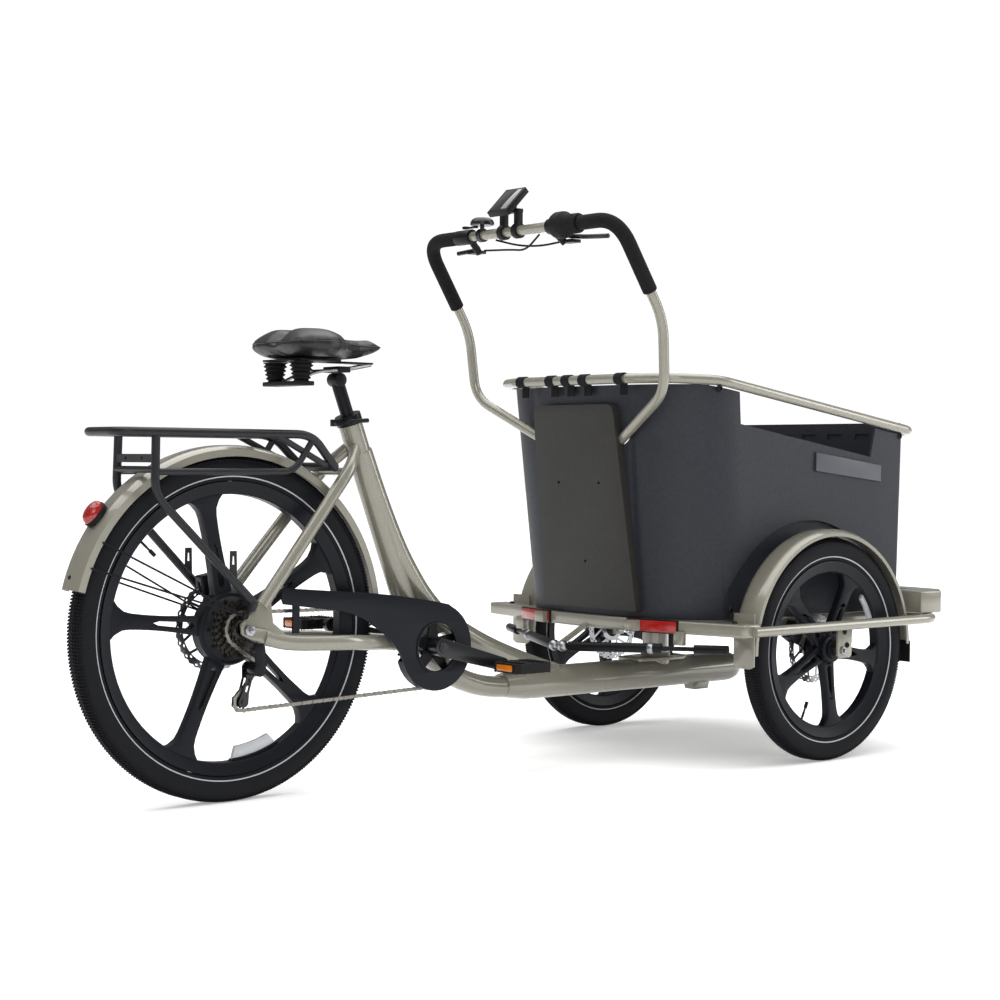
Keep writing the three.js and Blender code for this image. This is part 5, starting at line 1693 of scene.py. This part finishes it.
# Webbing loops over the rear rail, sewn from flat black polyester.
webbing = coated("woven_polyester_webbing", "#101012", "#19191B", 0.75, 1.0, 0.2, patch=12, shader=DULL)
bm = bmesh.new()
for y in (160, 60, 6, -50, -165):
    around = arc((RIM_X, RIM_Z), y, 12.4, 0, 360, 28)[:-1]
    sweep(bm, around, [(-12, -0.9), (12, -0.9), (12, 0.9), (-12, 0.9)], loop=True)
    box_at(bm, (2.4, 22, 26), 905, y, 826)
make("rail_loops", bm, webbing, "front", ())

# ---- Handlebar and controls ---------------------------------------------------------------
# A swept tube handlebar painted with the frame, with long foam grips, two hydraulic levers with
# their hoses, a twist shifter, a small bell, an assist button and a tilting display.

BAR_X, BAR_Z = 736, 1169
BAR = [(BAR_X, 0, BAR_Z), (BAR_X, 318, BAR_Z), (868, 321, 966), BAR_ELBOW, BAR_END]
bm = bmesh.new()
for s in (-1, 1):
    tube(bm, [(x, y * s, z) for x, y, z in BAR], 11, [62, 44, 44], 32, 16)
make("handlebar_tube", bm, greige_paint, "front", ["handlebar"])

# Closed-cell foam: very matt black, finely pitted.
grip_foam = coated("closed_cell_foam", "#111113", "#18181A", 0.82, 1.3, 0.3, patch=40, shader=DULL)
for side, s in SIDES:
    route = rounded([(x, y * s, z) for x, y, z in BAR[:3]], 62, 16)
    first = (Vector((BAR_X, 205 * s, BAR_Z)), route[0][1])
    end = (route[-2][0].lerp(route[-1][0], 0.62), route[-1][1])
    route = [first, *route[1:-1], end]
    bm = bmesh.new()
    whole = [(first[0] + Vector((0, t * s, 0)), first[1]) for t in (0, 1.2, 3)] + route[1:]
    last_way = end[1].normalized()
    whole = whole[:-1] + [(end[0] - last_way * t, end[1]) for t in (3, 1.2, 0)]
    side_axis = Vector((1, 0, 0))
    rings = []
    for k, (point, way) in enumerate(whole):
        way = way.normalized()
        side_axis = (side_axis - way * side_axis.dot(way)).normalized()
        other = side_axis.cross(way)
        from_end = min(k, len(whole) - 1 - k)
        radius = (13.4, 15.0, 15.8)[min(from_end, 2)]
        rings.append([point + side_axis * a + other * b for a, b in oval(radius, sides=40)])
    skin(bm, rings)
    make(f"foam_grip_{side}", bm, grip_foam, "front", [f"grip_{side}"], 50)
    refined(f"brake_mount_{side}", black_alloy, 1.6)
    refined(f"brake_lever_{side}", forged_black, 0.8)
    y = {"right": 146, "left": 186}[side]
    hose = [(774, (y - 31) * s, 1141), (762, 50 * s, 1134)]
    hose += [(752, -12 * s, 1133 - 6 * s), (738, -72 * s, 1155)]
    bm = bmesh.new()
    tube(bm, hose, 2.3, 30, 14, 12)
    make(f"hydraulic_hose_{side}", bm, cap_plastic, "front", [f"brake_hose_{side}"])

bm = bmesh.new()
profile = [(11.6, -203), (19, -203), (20.5, -201)]
for k in range(9):
    y = -199 + k * 3.6
    profile += [(21.4, y), (20.2, y + 1.2), (20.2, y + 2.2), (21.4, y + 3.4)]
profile += [(21, -165), (24, -162), (28.4, -158), (29, -152), (29, -137), (26, -130), (11.6, -130)]
turned(bm, profile, (BAR_X, BAR_Z), 64)
make("shifter_barrel", bm, bellows_rubber, "twist_shifter", ["twist_shifter"], 40)

bm = bmesh.new()
turned(bm, [(11.6, 112), (15, 112), (15, 124), (11.6, 124)], (BAR_X, BAR_Z), 40)
rod(bm, (BAR_X, 118, 1180), (BAR_X, 118, 1193), 5)
dome = [(0.01, 1191), (25, 1191), (27, 1193), (26.6, 1198)]
dome += [(23.5, 1203.5), (17, 1207.5), (8, 1209), (0.01, 1209.2)]
cap = bmesh.new()
turned(cap, dome, (0, 0), 56)
cap.transform(Matrix(((1, 0, 0, BAR_X), (0, 0, 1, 118), (0, 1, 0, 0), (0, 0, 0, 1))))
pour(bm, cap)
make("bell_dome", bm, forged_black, "front", ["bell"], 40)
refined("bell_lever", black_alloy, 0.9)
refined("display_mount", cap_plastic, 1.6)
refined("mode_button", cap_plastic, 1.0)
refined("display", cap_plastic, 1.8)
# Hard-coated display glass: nearly black and very glossy.
display_glass = coated(
    "hard_coated_display_glass", "#0B0C0E", "#101114", 0.09, 2.0, 0.004, 0.02, 30, 0.0, {"Coat Weight": 0.5}
)
bm = bmesh.new()
box_at(bm, (66, 55, 1.2), 0, 0, 21.2)
soften(bm, 0.5, 40)
bm.transform(Matrix.Translation((BAR_X, 19, 1222.5)) @ Matrix.Rotation(math.radians(-45), 4, "Y"))
make("display_window", bm, display_glass, "display")
